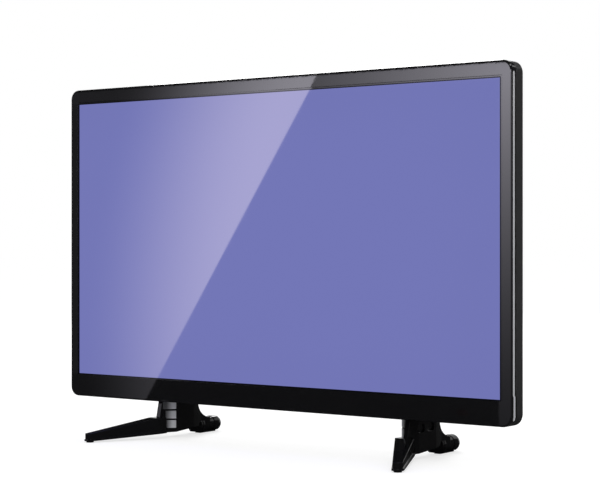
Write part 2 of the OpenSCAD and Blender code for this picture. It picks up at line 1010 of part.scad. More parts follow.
module leg_right() { color([0.03, 0.03, 0.033]) on_side(1) leg_body(); }

module leg_inlay_left() {
    color([0.75, 0.76, 0.77])
        on_side(-1)
            inlay_bars(0, inlay_proud, inlay_pocket);
}

module leg_inlay_right() {
    color([0.75, 0.76, 0.77])
        on_side(1)
            inlay_bars(0, inlay_proud, inlay_pocket);
}

module leg_pads() {
    color([0.1, 0.1, 0.1]) {
        on_side(-1) leg_pad_set(0);
        on_side(1) leg_pad_set(0);
    }
}

module leg_screws() {
    seat = leg_top - leg_seat;
    color([0.55, 0.56, 0.58])
        in_body()
            for (s = [-1, 1])
                for (y = leg_screw_y) {
                    rod_z(s * leg_x, y, seat - leg_screw_head_h, seat, leg_screw_head_r);
                    rod_z(s * leg_x, y, seat - over, bracket_z0 + bracket_t + leg_screw_end, leg_screw_r);
                }
}

// Pressed steel angle that ties a leg to the back of the chassis.
module stand_bracket() {
    x0 = leg_x - bracket_w / 2;
    x1 = leg_x + bracket_w / 2;
    y0 = floor_y1 + touch_gap;
    difference() {
        union() {
            box(x0, x1, y0, bracket_y1 - bulge_round, bracket_z0, bracket_z0 + bracket_t);
            box(x0, x1, y0, y0 + bracket_t, bracket_z0, bracket_z1);
            for (x = [x0, x1 - bracket_t])
                across(x, x + bracket_t)
                    polygon([
                        [y0, bracket_z0],
                        [y0 + bracket_gusset, bracket_z0],
                        [y0, bracket_z0 + bracket_gusset]
                    ]);
        }
        for (y = leg_screw_y)
            rod_z(leg_x, y, bracket_z0 - over, bracket_z0 + bracket_t + over, leg_screw_r + screw_slip);
    }
}

module stand_bracket_left() { color([0.65, 0.66, 0.68]) on_side(-1) stand_bracket(); }

module stand_bracket_right() { color([0.65, 0.66, 0.68]) on_side(1) stand_bracket(); }

// Threaded posts riveted to the chassis; their ends show in the cover's holes.
module wall_mount_posts() {
    color([0.7, 0.71, 0.72])
        in_body()
            for (s = [-1, 1])
                for (t = [-1, 1])
                    difference() {
                        rod_y(s * wall_pitch / 2, wall_zc + t * wall_pitch / 2,
                              floor_y1 + touch_gap, wall_post_y1, post_r);
                        rod_y(s * wall_pitch / 2, wall_zc + t * wall_pitch / 2,
                              wall_post_y1 - wall_hole_depth, wall_post_y1 + over, wall_hole_r);
                    }
}

module lcd_panel() {
    color([0.45, 0.46, 0.71])
        in_body()
            plate(panel_y0, panel_y0 + panel_t)
                screen_outline(panel_edge);
}

// Plastic frame round the panel; its ledge parts the panel from the film.
module mid_frame() {
    color([0.12, 0.12, 0.12])
        in_body() {
            difference() {
                plate(panel_y0, frame_depth)
                    intersection() {
                        screen_rect(frame_out_w, frame_out_h);
                        body_outline(bezel_wall + slip);
                    }
                plate(panel_y0 - over, frame_depth + over)
                    screen_rect(frame_in_w, frame_in_h);
            }
            difference() {
                plate(ledge_y0, ledge_y0 + ledge_t)
                    screen_rect(frame_in_w + frame_wall, frame_in_h + frame_wall);
                plate(ledge_y0 - over, ledge_y0 + ledge_t + over)
                    screen_outline(black_border);
            }
        }
}

module optical_film() {
    color([0.9, 0.9, 0.92])
        in_body()
            plate(film_y0, film_y0 + film_t)
                screen_rect(rim_w, rim_h);
}

module diffuser_plate() {
    color([0.95, 0.95, 0.95])
        in_body()
            plate(diffuser_y0, diffuser_y0 + diffuser_t)
                screen_rect(rim_w, rim_h);
}

// Tapered tray between a wide mouth and a smaller floor.
module tray(inset, y0, y1) {
    hull() {
        plate(y0, y0 + sliver)
            screen_rect(tray_mouth_w - 2 * inset, tray_mouth_h - 2 * inset);
        plate(y1 - sliver, y1)
            screen_rect(tray_floor_w - 2 * inset, tray_floor_h - 2 * inset);
    }
}

module lamp_places() {
    for (i = [0:lamp_count - 1])
        for (j = [0:lamp_rows - 1])
            translate([
                (i - (lamp_count - 1) / 2) * lamp_pitch_x,
                0,
                screen_zc + (j - (lamp_rows - 1) / 2) * lamp_pitch_z
            ])
                children();
}

module reflector_sheet() {
    gap = sheet_t + touch_gap;
    color([0.96, 0.96, 0.96])
        in_body()
            difference() {
                tray(gap, rim_y0, reflector_y1);
                tray(gap + reflector_t, rim_y0 - sliver, reflector_y1 - reflector_t);
                lamp_places()
                    rod_y(0, 0, rim_y0, floor_y1, lens_r + slip);
            }
}

module led_bars() {
    len = tray_floor_w - 2 * lamp_bar_inset;
    color([0.9, 0.91, 0.88])
        in_body()
            for (j = [0:lamp_rows - 1]) {
                z = screen_zc + (j - (lamp_rows - 1) / 2) * lamp_pitch_z;
                box(-len / 2, len / 2, floor_y0 - lamp_bar_t, floor_y0, z - lamp_bar_h / 2, z + lamp_bar_h / 2);
            }
}

// Domed lens over each lamp.
module led_lenses() {
    y1 = floor_y0 - lamp_bar_t;
    color([0.85, 0.88, 0.92])
        in_body()
            lamp_places()
                translate([0, y1, 0])
                    rotate([90, 0, 0]) {
                        cylinder(h = lens_h - lens_dome, r = lens_r, $fn = lens_fn);
                        translate([0, 0, lens_h - lens_dome])
                            cylinder(h = lens_dome, r1 = lens_r, r2 = lens_r / 2, $fn = lens_fn);
                    }
}

module back_chassis() {
    color([0.72, 0.73, 0.75])
        in_body()
            difference() {
                union() {
                    plate(rim_y0, rim_y0 + sheet_t)
                        screen_rect(rim_w, rim_h);
                    tray(0, rim_y0, floor_y1);
                }
                tray(sheet_t, rim_y0 - sliver, floor_y0);
                for (x = [-top_screw_x, 0, top_screw_x])
                    rod_y(x, top_screw_z, floor_y0 - over, floor_y1 + over, screw_r + screw_slip);
                for (s = [-1, 1])
                    rod_y(s * deep_screw[0], deep_screw[1], floor_y0 - over, floor_y1 + over, screw_r + screw_slip);
            }
}

module driver_board() {
    y0 = floor_y1 + touch_gap;
    half = board_x0 + driver_reach;
    color([0.1, 0.3, 0.16])
        in_body() {
            box(-half, half, y0, y0 + driver_t, driver_z0, driver_z0 + driver_h);
            box(plug_x - plug_w / 2, plug_x + plug_w / 2, y0 + driver_t - sliver, ribbon_y0 - touch_gap,
                driver_z0 + plug_edge, driver_z0 + plug_edge + plug_h);
        }
}

// Flat ribbon that loops under the main board from one plug to the other.
module panel_ribbon() {
    r = (ribbon_y1 - ribbon_y0) / 2;
    color([0.8, 0.8, 0.82])
        in_body()
            across(plug_x - ribbon_w / 2, plug_x + ribbon_w / 2) {
                difference() {
                    translate([ribbon_y0 + r, driver_z0 - ribbon_turn])
                        circle(r);
                    translate([ribbon_y0 + r, driver_z0 - ribbon_turn])
                        circle(r - ribbon_t);
                    translate([ribbon_y0 - over, driver_z0 - ribbon_turn])
                        square([2 * r + 2 * over, 2 * r]);
                }
                translate([ribbon_y0, driver_z0 - ribbon_turn])
                    square([ribbon_t, driver_h]);
                translate([ribbon_y1 - ribbon_t, driver_z0 - ribbon_turn])
                    square([ribbon_t, board_z0 - driver_z0 + plug_edge + plug_h + ribbon_turn]);
            }
}

module board_corners(s) {
    for (x = [board_x0 + board_inset, board_x1 - board_inset])
        for (z = [board_z0 + board_inset, board_z0 + board_h - board_inset])
            translate([s * x, 0, z])
                children();
}

module board_plate(s) {
    difference() {
        mirror([s < 0 ? 1 : 0, 0, 0])
            box(board_x0, board_x1, board_y0, board_y1, board_z0, board_z0 + board_h);
        board_corners(s)
            rod_y(0, 0, board_y0 - over, board_y1 + over, board_hole_r);
    }
}

module main_board() {
    color([0.08, 0.32, 0.18])
        in_body() {
            board_plate(-1);
            box(plug_x - plug_w / 2, plug_x + plug_w / 2, board_y1 - sliver, ribbon_y1 - ribbon_t - touch_gap,
                board_z0 + plug_edge, board_z0 + plug_edge + plug_h);
        }
}

// A chip on the main board, placed from the board's inner lower corner.
module chip(at, size) {
    y0 = board_y1 + touch_gap;
    x1 = -board_x0 - at[0];
    z0 = board_z0 + at[1];
    box(x1 - size[0], x1, y0, y0 + size[2], z0, z0 + size[1]);
}

module main_chips() {
    color([0.09, 0.09, 0.1])
        in_body() {
            chip(processor_at, processor_size);
            chip(memory_at, memory_size);
            chip(flash_at, flash_size);
            chip(sound_at, sound_size);
        }
}

module main_capacitors() {
    y0 = board_y1 + touch_gap;
    color([0.15, 0.18, 0.4])
        in_body()
            for (i = [0:cap_count - 1])
                rod_y(-board_x0 - cap_at[0], board_z0 + cap_at[1] + i * cap_pitch, y0, y0 + cap_h, cap_r);
}

// Finned aluminium block clipped over the processor.
module processor_heatsink() {
    y0 = board_y1 + processor_size[2] + 2 * touch_gap;
    x0 = -board_x0 - processor_at[0] - processor_size[0] / 2 - sink_size / 2;
    z0 = board_z0 + processor_at[1] + processor_size[1] / 2 - sink_size / 2;
    z1 = z0 + sink_size;
    color([0.6, 0.61, 0.63])
        in_body() {
            box(x0, x0 + sink_size, y0, y0 + sink_base, z0, z1);
            for (i = [0:sink_fins - 1])
                translate([i * (sink_size - fin_t) / (sink_fins - 1), 0, 0])
                    box(x0, x0 + fin_t, y0, y0 + fin_h, z0, z1);
        }
}

module tuner_can() {
    y0 = board_y1 + touch_gap;
    color([0.75, 0.76, 0.77])
        in_body()
            box(-board_x1 + tuner_edge, -board_x1 + tuner_size[2], y0, y0 + tuner_size[1],
                antenna_z - tuner_size[0] / 2, antenna_z + tuner_size[0] / 2);
}

// Coaxial nose through the well's wall, with a bore for the plug's pin.
module coax(y, z, r, bore_r, nose, x_in) {
    difference() {
        rod_x(y, z, -well_x - nose, x_in, r);
        rod_x(y, z, -well_x - nose - over, -well_x + 2, bore_r);
    }
}

module antenna_socket() {
    color([0.8, 0.78, 0.7])
        in_body()
            coax(port_y(tuner_size), antenna_z, antenna_r, antenna_bore_r, antenna_nose, -board_x1 + tuner_edge - touch_gap);
}

module av_jack(i) {
    z = jack_z + i * jack_pitch;
    y0 = board_y1 + touch_gap;
    x0 = -well_x + cover_wall + seam;
    coax(port_y(jack_block), z, jack_r, jack_bore_r, jack_nose, x0 + sliver);
    box(x0, x0 + jack_block[2], y0, y0 + jack_block[1], z - jack_block[0] / 2, z + jack_block[0] / 2);
}

module av_jack_yellow() { color([0.9, 0.75, 0.1]) in_body() av_jack(2); }

module av_jack_white() { color([0.92, 0.92, 0.9]) in_body() av_jack(1); }

module av_jack_red() { color([0.75, 0.1, 0.1]) in_body() av_jack(0); }

module headphone_jack() {
    z = headphone_z;
    y0 = board_y1 + touch_gap;
    x0 = -well_x + cover_wall + seam;
    depth = headphone_size[2];
    color([0.1, 0.1, 0.1])
        in_body()
            difference() {
                union() {
                    rod_x(port_y(headphone_size), z, -well_x, x0 + 1, headphone_r);
                    box(x0, x0 + depth, y0, y0 + headphone_size[1],
                        z - headphone_size[0] / 2, z + headphone_size[0] / 2);
                }
                rod_x(port_y(headphone_size), z, -well_x - over, x0 + depth - 2, headphone_bore_r);
            }
}

// Metal-shelled socket with its mouth in the well and a tongue inside.
module shell_socket(z, size, wall, tongue_t) {
    y0 = board_y1 + touch_gap;
    x0 = -well_x;
    half = size[0] / 2;
    mid = y0 + size[1] / 2;
    difference() {
        box(x0, x0 + size[2], y0, y0 + size[1], z - half, z + half);
        box(x0 - over, x0 + size[2] - 2, y0 + wall, y0 + size[1] - wall, z - half + wall, z + half - wall);
    }
    box(x0 + tongue_set_back, x0 + size[2] - 1, mid - tongue_t / 2, mid + tongue_t / 2, z - half + 2, z + half - 2);
}

module hdmi_sockets() {
    color([0.72, 0.72, 0.73])
        in_body()
            for (i = [0:1])
                shell_socket(hdmi_z + i * hdmi_pitch, hdmi_size, socket_wall, hdmi_tongue);
}

module usb_socket() {
    color([0.72, 0.72, 0.73])
        in_body()
            shell_socket(usb_z, usb_size, socket_wall, usb_tongue);
}

module power_board() {
    color([0.55, 0.42, 0.2])
        in_body()
            board_plate(1);
}

// A block centred across and up, standing on a board's face.
module block(x, y0, z, size) {
    box(x - size[0] / 2, x + size[0] / 2, y0, y0 + size[1], z - size[2] / 2, z + size[2] / 2);
}

// Ferrite core round a wound bobbin.
module transformer() {
    y0 = board_y1 + touch_gap;
    x = board_x0 + transformer_at[0];
    z = board_z0 + transformer_at[1];
    color([0.75, 0.6, 0.2])
        in_body() {
            block(x, y0, z, core_size);
            block(x, y0, z, bobbin_size);
            rod_y(x, z, y0, y0 + winding_h, winding_r);
        }
}

module bulk_capacitor() {
    y0 = board_y1 + touch_gap;
    color([0.12, 0.12, 0.15])
        in_body()
            rod_y(board_x1 - bulk_at[0], board_z0 + bulk_at[1], y0, y0 + bulk_h, bulk_r);
}

module power_heatsink() {
    y0 = board_y1 + touch_gap;
    x = board_x0 + power_sink_at[0];
    y1 = y0 + power_sink_size[1];
    z0 = board_z0 + power_sink_at[1];
    z1 = z0 + power_sink_size[2];
    color([0.62, 0.63, 0.64])
        in_body() {
            box(x, x + power_sink_t, y0, y1, z0, z1);
            for (z = [z0, z1 - power_sink_t])
                box(x, x + power_sink_size[0], y0, y1, z, z + power_sink_t);
        }
}

module stadium(w, h) {
    square([w - h, h], center = true);
    for (s = [-1, 1])
        translate([s * (w - h) / 2, 0])
            circle(h / 2);
}

// Two-pin inlet; its mouth is set across the well's wall.
module mains_inlet() {
    y0 = board_y1 + touch_gap;
    mid = board_y1 + inlet_size[1] / 2;
    x1 = well_x;
    color([0.06, 0.06, 0.06])
        in_body() {
            difference() {
                box(x1 - inlet_size[2], x1, y0, y0 + inlet_size[1],
                    inlet_z - inlet_size[0] / 2, inlet_z + inlet_size[0] / 2);
                translate([x1 - inlet_depth, mid, inlet_z])
                    rotate([0, 90, 0])
                        linear_extrude(inlet_depth + over)
                            stadium(inlet_mouth[0], inlet_mouth[1]);
            }
            for (s = [-1, 1])
                rod_x(mid, inlet_z + s * inlet_pin_pitch / 2, x1 - inlet_depth - 1, x1 - 1, inlet_pin_r);
        }
}

module board_standoffs() {
    color([0.72, 0.73, 0.75])
        in_body()
            for (s = [-1, 1])
                board_corners(s)
                    difference() {
                        rod_y(0, 0, floor_y1 + touch_gap, board_y0, standoff_r);
                        rod_y(0, 0, floor_y1 + 2, board_y0 + over, screw_r + screw_slip);
                    }
}

module board_screws() {
    color([0.7, 0.7, 0.72])
        in_body()
            for (s = [-1, 1])
                board_corners(s)
                    screw_y(0, 0, board_y1, board_t + board_screw_bite, screw_r, screw_head_r, screw_head_h);
}

// Closed box with its driver facing down onto the slots.
module speaker_box(s) {
    x = s * speaker_x;
    y0 = speaker_y - speaker_d / 2;
    wall = 2;
    color([0.08, 0.08, 0.08])
        in_body()
            difference() {
                box(x - speaker_w / 2, x + speaker_w / 2, y0, y0 + speaker_d, speaker_z0, speaker_z0 + speaker_h);
                box(x - speaker_w / 2 + wall, x + speaker_w / 2 - wall, y0 + wall, y0 + speaker_d - wall,
                    speaker_z0 + wall, speaker_z0 + speaker_h - wall);
                rod_z(x, speaker_y, speaker_z0 - over, speaker_z0 + wall + over, cone_r);
            }
}

module speaker_box_left() { speaker_box(-1); }

module speaker_box_right() { speaker_box(1); }

module speaker_cones() {
    z0 = speaker_z0 + 2;
    color([0.25, 0.25, 0.27])
        in_body()
            for (s = [-1, 1])
                translate([s * speaker_x, speaker_y, z0]) {
                    cylinder(h = cone_rim, r = cone_r - cone_play + cone_rim);
                    cylinder(h = cone_h, r1 = cone_r - cone_play, r2 = magnet_r);
                    cylinder(h = magnet_h, r = magnet_r);
                }
}

module window_outline(grow) {
    translate([window_x, window_z])
        stadium(window_w + 2 * grow, window_h + 2 * grow);
}

module infrared_window() {
    color([0.2, 0.02, 0.03])
        in_body() {
            plate(0, bezel_lip)
                window_outline(0);
            plate(bezel_lip, window_t)
                window_outline(window_flange);
        }
}

module infrared_board() {
    y1 = ir_board_y0 + ir_board_t;
    color([0.1, 0.3, 0.16])
        in_body() {
            box(window_x - ir_board[0] / 2, window_x + ir_board[0] / 2, ir_board_y0, y1,
                window_z - ir_board[1] / 2, window_z + ir_board[1] / 2);
            box(window_x - ir_sensor[0] / 2, window_x + ir_sensor[0] / 2, window_t + slip, ir_board_y0 + sliver,
                window_z - ir_sensor[1] / 2, window_z + ir_sensor[1] / 2);
        }
}

module key_board() {
    color([0.1, 0.3, 0.16])
        in_body()
            box(key_x - key_board_w / 2, key_x + key_board_w / 2, key_board_y0, key_board_y0 + key_board_t,
                key_zc - key_board_len / 2, key_zc + key_board_len / 2);
}

module key_switches() {
    y0 = key_board_y0 + key_board_t + touch_gap / 2;
    half = switch_size / 2;
    color([0.15, 0.15, 0.16])
        in_body()
            for (i = [0:key_count - 1]) {
                box(key_x - half, key_x + half, y0, switch_y1 - plunger_h, key_z(i) - half, key_z(i) + half);
                rod_y(key_x, key_z(i), switch_y1 - plunger_h - sliver, switch_y1, plunger_r);
            }
}

// Key cap: a rounded button through the cover with a flange that holds it in.
module key_cap(i) {
    y0 = back_in - key_flange_t;
    color([0.09, 0.09, 0.095])
        in_body()
            translate([key_x, 0, key_z(i)]) {
                plate(back_in - sliver, back_depth + key_proud)
                    rounded(key_w, key_h, key_r);
                plate(y0, back_in)
                    rounded(key_w + 2 * key_flange, key_h + 2 * key_flange, key_r);
            }
}

module key_power() { key_cap(0); }

module key_source() { key_cap(1); }

module key_menu() { key_cap(2); }

module key_channel_down() { key_cap(3); }

module key_channel_up() { key_cap(4); }

module key_volume_down() { key_cap(5); }

module key_volume_up() { key_cap(6); }

front_bezel();
side_trim_left();
side_trim_right();
rear_cover();
cover_screws();
leg_left();
leg_right();
leg_inlay_left();
leg_inlay_right();
leg_pads();
leg_screws();
stand_bracket_left();
stand_bracket_right();
wall_mount_posts();
lcd_panel();
mid_frame();
optical_film();
diffuser_plate();
reflector_sheet();
led_bars();
led_lenses();
back_chassis();
driver_board();
panel_ribbon();
main_board();
main_chips();
main_capacitors();
processor_heatsink();
tuner_can();
antenna_socket();
av_jack_yellow();
av_jack_white();
av_jack_red();
headphone_jack();
hdmi_sockets();
usb_socket();
power_board();
transformer();
bulk_capacitor();
power_heatsink();
mains_inlet();
board_standoffs();
board_screws();
speaker_box_left();
speaker_box_right();
speaker_cones();
infrared_window();
infrared_board();
key_board();
key_switches();
key_power();
key_source();
key_menu();
key_channel_up();
key_channel_down();
key_volume_up();
key_volume_down();
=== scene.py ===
# Finish of a flat screen television on two splayed legs, and the studio stage it is shown on.
# Metres, +Z up; the screen faces -Y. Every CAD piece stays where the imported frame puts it.

import math

import bmesh
import bpy
from bpy.props import FloatProperty, FloatVectorProperty, IntProperty, PointerProperty
from mathutils import Matrix, Vector


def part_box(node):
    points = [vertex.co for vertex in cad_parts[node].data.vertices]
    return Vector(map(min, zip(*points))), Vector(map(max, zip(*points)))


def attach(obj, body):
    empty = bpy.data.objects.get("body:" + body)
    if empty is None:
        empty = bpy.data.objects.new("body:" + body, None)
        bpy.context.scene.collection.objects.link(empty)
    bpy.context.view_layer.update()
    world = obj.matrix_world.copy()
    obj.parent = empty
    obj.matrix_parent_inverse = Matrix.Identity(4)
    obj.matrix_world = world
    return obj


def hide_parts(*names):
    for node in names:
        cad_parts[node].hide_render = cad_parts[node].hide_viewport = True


bl_info = {
    "name": "Flat screen television",
    "version": (1, 0, 0),
    "blender": (4, 5, 0),
    "location": "3D View > Sidebar > Television",
    "description": "Dresses the packed television and sets the stage round it",
    "category": "Object",
}

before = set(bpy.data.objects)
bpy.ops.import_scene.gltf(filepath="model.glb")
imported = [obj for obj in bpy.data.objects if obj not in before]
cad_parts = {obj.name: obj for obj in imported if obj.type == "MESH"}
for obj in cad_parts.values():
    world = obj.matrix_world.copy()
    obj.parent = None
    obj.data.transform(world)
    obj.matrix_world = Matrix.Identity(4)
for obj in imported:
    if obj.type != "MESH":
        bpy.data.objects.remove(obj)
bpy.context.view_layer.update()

MM = 0.001
MICRON = 0.001 * MM
SET = "set"
KEYS = ("power", "source", "menu", "channel_down", "channel_up", "volume_down", "volume_up")

PANEL_LO, PANEL_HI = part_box("lcd_panel")
PANEL_MIDDLE = (PANEL_LO + PANEL_HI) / 2
FRONT_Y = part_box("front_bezel")[0].y

# The frame's window: half its width and height, and the bevel round it
WINDOW_HALF = {"X": 261.65 * MM, "Z": 147.6 * MM}
WINDOW_BEVEL = 0.4 * MM
# Width of the darkest part of the panel's border, beside the picture
DARK_BORDER = 1.2 * MM
# Thickness of a flat socket's metal shell
SHELL_WALL = 0.75 * MM


# Sizes and colours

def colour(name, description, value):
    """A colour that a user may change."""
    return FloatVectorProperty(
        name=name, description=description, default=value, subtype="COLOR", min=0, max=1)


def number(name, description, value, **more):
    """A number that a user may change."""
    return FloatProperty(name=name, description=description, default=value, **more)


def length(name, description, value):
    """A length that a user may change, in metres."""
    return number(name, description, value, unit="LENGTH", subtype="DISTANCE")


class TelevisionColours(bpy.types.PropertyGroup):
    """Colours of the set's outer pieces."""

    gloss_black: colour("Gloss black", "Frame round the picture", (0.0075, 0.0075, 0.0082))
    leg_black: colour("Leg black", "Both legs", (0.006, 0.006, 0.0065))
    cover_grey: colour("Cover", "Moulded rear cover", (0.0195, 0.0195, 0.0205))
    silver: colour("Silver", "Side strips and the bars on the legs", (0.72, 0.73, 0.76))
    picture: colour("Picture", "Lit picture area", (0.168, 0.181, 0.468))
    key_grey: colour("Keys", "Caps of the keys", (0.03, 0.03, 0.032))
    sign_grey: colour("Key signs", "Raised signs on the keys", (0.55, 0.55, 0.55))
    window_red: colour("Receiver window", "Dark red window in the chin", (0.0082, 0.0066, 0.0072))


class TelevisionSizes(bpy.types.PropertyGroup):
    """Sizes of the surface detail."""

    picture_width: length("Picture width", "Width of the lit area", 0.5189)
    picture_height: length("Picture height", "Height of the lit area", 0.2918)
    picture_left: length("Picture left", "How far the lit area stands left of the panel's middle", 0.001)
    picture_low: length("Picture low", "How far the lit area stands below the panel's middle", 0.0006)
    edge_softness: length("Edge softness", "Radius that the frame's edges catch light with", 0.00012)
    cover_grain: length("Cover grain", "Size of the spark-eroded grain on the rear cover", 0.0011)
    cover_grain_depth: length("Cover grain depth", "Depth of that grain", 0.00005)
    thread_pitch: length("Thread pitch", "Pitch of the screws' threads", 0.0011)
    sign_height: length("Sign height", "How far a key's sign stands up", 0.00012)
    sign_line: length("Sign line", "Line width of the keys' signs", 0.00045)
    head_sides: IntProperty(
        name="Screw sides", description="Sides of a screw's round head", default=32, min=12)


class TelevisionStage(bpy.types.PropertyGroup):
    """Camera and light."""

    camera_place: FloatVectorProperty(
        name="Camera", description="Where the camera stands",
        default=(0.9853, FRONT_Y - 1.3151, 0.2086), subtype="TRANSLATION", unit="LENGTH")
    camera_turn: number(
        "Turn", "How far the camera is turned to the left of +Y", math.radians(35.8), subtype="ANGLE")
    lens: number("Lens", "Focal length in millimetres", 99.0, min=10)
    horizon: number(
        "Horizon", "Share of the width by which the horizon stands above the middle", 9.65 / 600)
    ambient: number("Ambient", "Level of the light from all round", 0.62, min=0)
    key_power: number("Key light", "Power of the large lamp", 20, min=0, unit="POWER")
    fill_power: number("Fill light", "Power of the rear lamp", 32, min=0, unit="POWER")
    window_light: number(
        "Window light", "Brightness of the window that the glossy front mirrors", 4.9, min=0)


GROUPS = {
    "television_colours": TelevisionColours,
    "television_sizes": TelevisionSizes,
    "television_stage": TelevisionStage,
}


def colours():
    """The colours as a user has set them."""
    return bpy.context.scene.television_colours


def sizes():
    """The sizes as a user has set them."""
    return bpy.context.scene.television_sizes


# Shader nodes

SEEN_RAYS = ("Is Camera Ray", "Is Glossy Ray", "Is Transmission Ray")
# A mix node's places for the two values, and for the result
MIX_PLACES = {"RGBA": (6, 7, 2), "VECTOR": (4, 5, 1)}
# Values that most of a grain lies between, and how rough its small detail is
GRAIN_RANGE = (0.25, 0.75)
GRAIN_ROUGHNESS = 0.55
BEVEL_SAMPLES = 6
TOWARDS_FRONT = (0, -1, 0)


class Nodes:
    """The shader nodes of one tree."""

    def __init__(self, tree):
        self.tree = tree

    def node(self, kind, **settings):
        """A new shader node."""
        node = self.tree.nodes.new("ShaderNode" + kind)
        for name, value in settings.items():
            setattr(node, name, value)
        return node

    def put(self, value, socket):
        """Links an output to a socket, or sets the socket to a number, a colour or a direction."""
        if isinstance(value, bpy.types.NodeSocket):
            self.tree.links.new(value, socket)
        elif socket.type == "RGBA":
            socket.default_value = (*value, 1)
        else:
            socket.default_value = value

    def feed(self, node, **values):
        """Links or sets a node's inputs by name."""
        for name, value in values.items():
            self.put(value, node.inputs[name.replace("_", " ").title().replace("Ior", "IOR")])
        return node

    def math(self, operation, *values):
        """Result of one operation on numbers."""
        node = self.node("Math", operation=operation)
        for value, socket in zip(values, node.inputs):
            self.put(value, socket)
        return node.outputs[0]

    def plus(self, first, second):
        return self.math("ADD", first, second)

    def minus(self, first, second):
        return self.math("SUBTRACT", first, second)

    def times(self, first, second):
        return self.math("MULTIPLY", first, second)

    def larger(self, first, second):
        return self.math("MAXIMUM", first, second)

    def under(self, value, limit):
        """1 where a value is under a limit and 0 elsewhere."""
        return self.math("LESS_THAN", value, limit)

    def over(self, value, limit):
        """1 where a value is over a limit and 0 elsewhere."""
        return self.math("GREATER_THAN", value, limit)

    def off(self, value, middle):
        """Distance of a value from a middle one."""
        return self.math("ABSOLUTE", self.minus(value, middle))

    def show(self, seen, unseen, output):
        """One shader for eyes, mirrors and clear pieces, and another for the light that falls on things."""
        path = self.node("LightPath")
        share = 0.0
        for ray in SEEN_RAYS:
            share = self.larger(share, path.outputs[ray])
        mix = self.node("MixShader")
        for value, socket in zip((share, unseen.outputs[0], seen.outputs[0]), mix.inputs):
            self.put(value, socket)
        self.put(mix.outputs[0], output)


class Finish(Nodes):
    """One surface finish, with its nodes on object coordinates in metres."""

    def __init__(self, name, **plain):
        self.material = bpy.data.materials.new(name)
        self.material.use_nodes = True
        super().__init__(self.material.node_tree)
        self.shader = self.tree.nodes["Principled BSDF"]
        self.surface = self.tree.nodes["Material Output"].inputs["Surface"]
        self.coordinates = self.node("TexCoord").outputs["Object"]
        self.coat(**plain)

    def coat(self, **values):
        """Links or sets inputs of the finish's own shader."""
        self.feed(self.shader, **values)

    def axis(self, name):
        """One object coordinate in metres."""
        split = self.feed(self.node("SeparateXYZ"), vector=self.coordinates)
        return split.outputs[name]

    def spread(self, value, low, high, start=0.0, end=1.0, kind="LINEAR"):
        """Maps a value from start..end to low..high."""
        node = self.node("MapRange", interpolation_type=kind)
        self.feed(node, value=value, from_min=start, from_max=end, to_min=low, to_max=high)
        return node.outputs[0]

    def stretched(self, scale):
        """Coordinates multiplied along each axis."""
        return self.feed(self.node("Mapping"), vector=self.coordinates, scale=scale).outputs[0]

    def grain(self, size, detail=3, stretch=(1, 1, 1)):
        """Cloudy noise whose clouds measure about size."""
        noise = self.node("TexNoise")
        places = self.stretched([k / size for k in stretch])
        self.feed(noise, vector=places, scale=1.0, detail=detail, roughness=GRAIN_ROUGHNESS)
        return noise.outputs[0]

    def cells(self, size, feature="F1"):
        """Cells of about that size."""
        cells = self.node("TexVoronoi", feature=feature)
        self.feed(cells, vector=self.stretched([1 / size] * 3), scale=1.0)
        return cells.outputs["Distance"]

    def mixed(self, share, first, second, kind="RGBA"):
        """Colour or direction between two others."""
        mix = self.node("Mix", data_type=kind)
        first_place, second_place, result = MIX_PLACES[kind]
        for value, place in ((share, 0), (first, first_place), (second, second_place)):
            self.put(value, mix.inputs[place])
        return mix.outputs[result]

    def tint(self, tone, change, grain):
        """Colour that drifts a little about its tone."""
        low = [c * (1 - change) for c in tone]
        high = [min(c * (1 + change), 1) for c in tone]
        self.coat(base_color=self.mixed(grain, low, high))

    def gloss(self, low, high, grain):
        """Roughness that follows a grain."""
        self.coat(roughness=self.spread(grain, low, high, *GRAIN_RANGE))

    def relief(self, depth, height, soften=0.0, flat=None):
        """Raised grain over softened edges, which catch light as the flat front does where flat is 1."""
        bump = self.feed(self.node("Bump"), distance=depth, height=height, strength=1.0)
        if soften:
            facing = self.feed(self.node("Bevel", samples=BEVEL_SAMPLES), radius=soften).outputs[0]
            if flat is not None:
                facing = self.mixed(flat, facing, TOWARDS_FRONT, "VECTOR")
            self.feed(bump, normal=facing)
        self.coat(normal=bump.outputs[0])


# Finishes

def grey(level):
    """A colour without a hue."""
    return (level, level, level)


def darker(tone, share):
    """A share of a colour's light."""
    return [c * share for c in tone]


def glossy_plastic(name, tone, rough, soften, shine=0.5, window_bevel=False):
    """Polished moulding: faint flow marks, dust-fine unevenness."""
    finish = Finish(name, specular_ior_level=shine)
    finish.tint(tone, change=0.12, grain=finish.grain(30 * MM, detail=2, stretch=(1, 1, 0.4)))
    finish.gloss(low=rough * 0.7, high=rough * 1.5, grain=finish.grain(6 * MM, detail=4))
    flat = on_window_bevel(finish) if window_bevel else None
    finish.relief(4 * MICRON, finish.grain(4 * MM, detail=2), soften, flat)
    return finish.material


def on_window_bevel(finish):
    """1 on the bevel round the frame's window, which mirrors as the flat front does, and 0 elsewhere."""
    share = finish.under(finish.axis("Y"), FRONT_Y + WINDOW_BEVEL)
    for axis, half in WINDOW_HALF.items():
        off = finish.off(finish.axis(axis), getattr(PANEL_MIDDLE, axis.lower()))
        share = finish.times(share, finish.under(off, half + WINDOW_BEVEL))
    return share


def grained_plastic(name, tone, grain, depth, rough=0.5, shine=0.35):
    """Spark-eroded moulding: fine pebbled grain over slow changes of tone."""
    finish = Finish(name, specular_ior_level=shine)
    pebbles = finish.grain(grain, detail=2)
    fine = finish.cells(size=grain * 0.8, feature="SMOOTH_F1")
    finish.tint(tone, change=0.18, grain=finish.grain(45 * MM, detail=4))
    finish.gloss(low=rough * 0.85, high=rough * 1.15, grain=pebbles)
    finish.relief(depth, finish.plus(pebbles, fine), soften=0.4 * MM)
    return finish.material


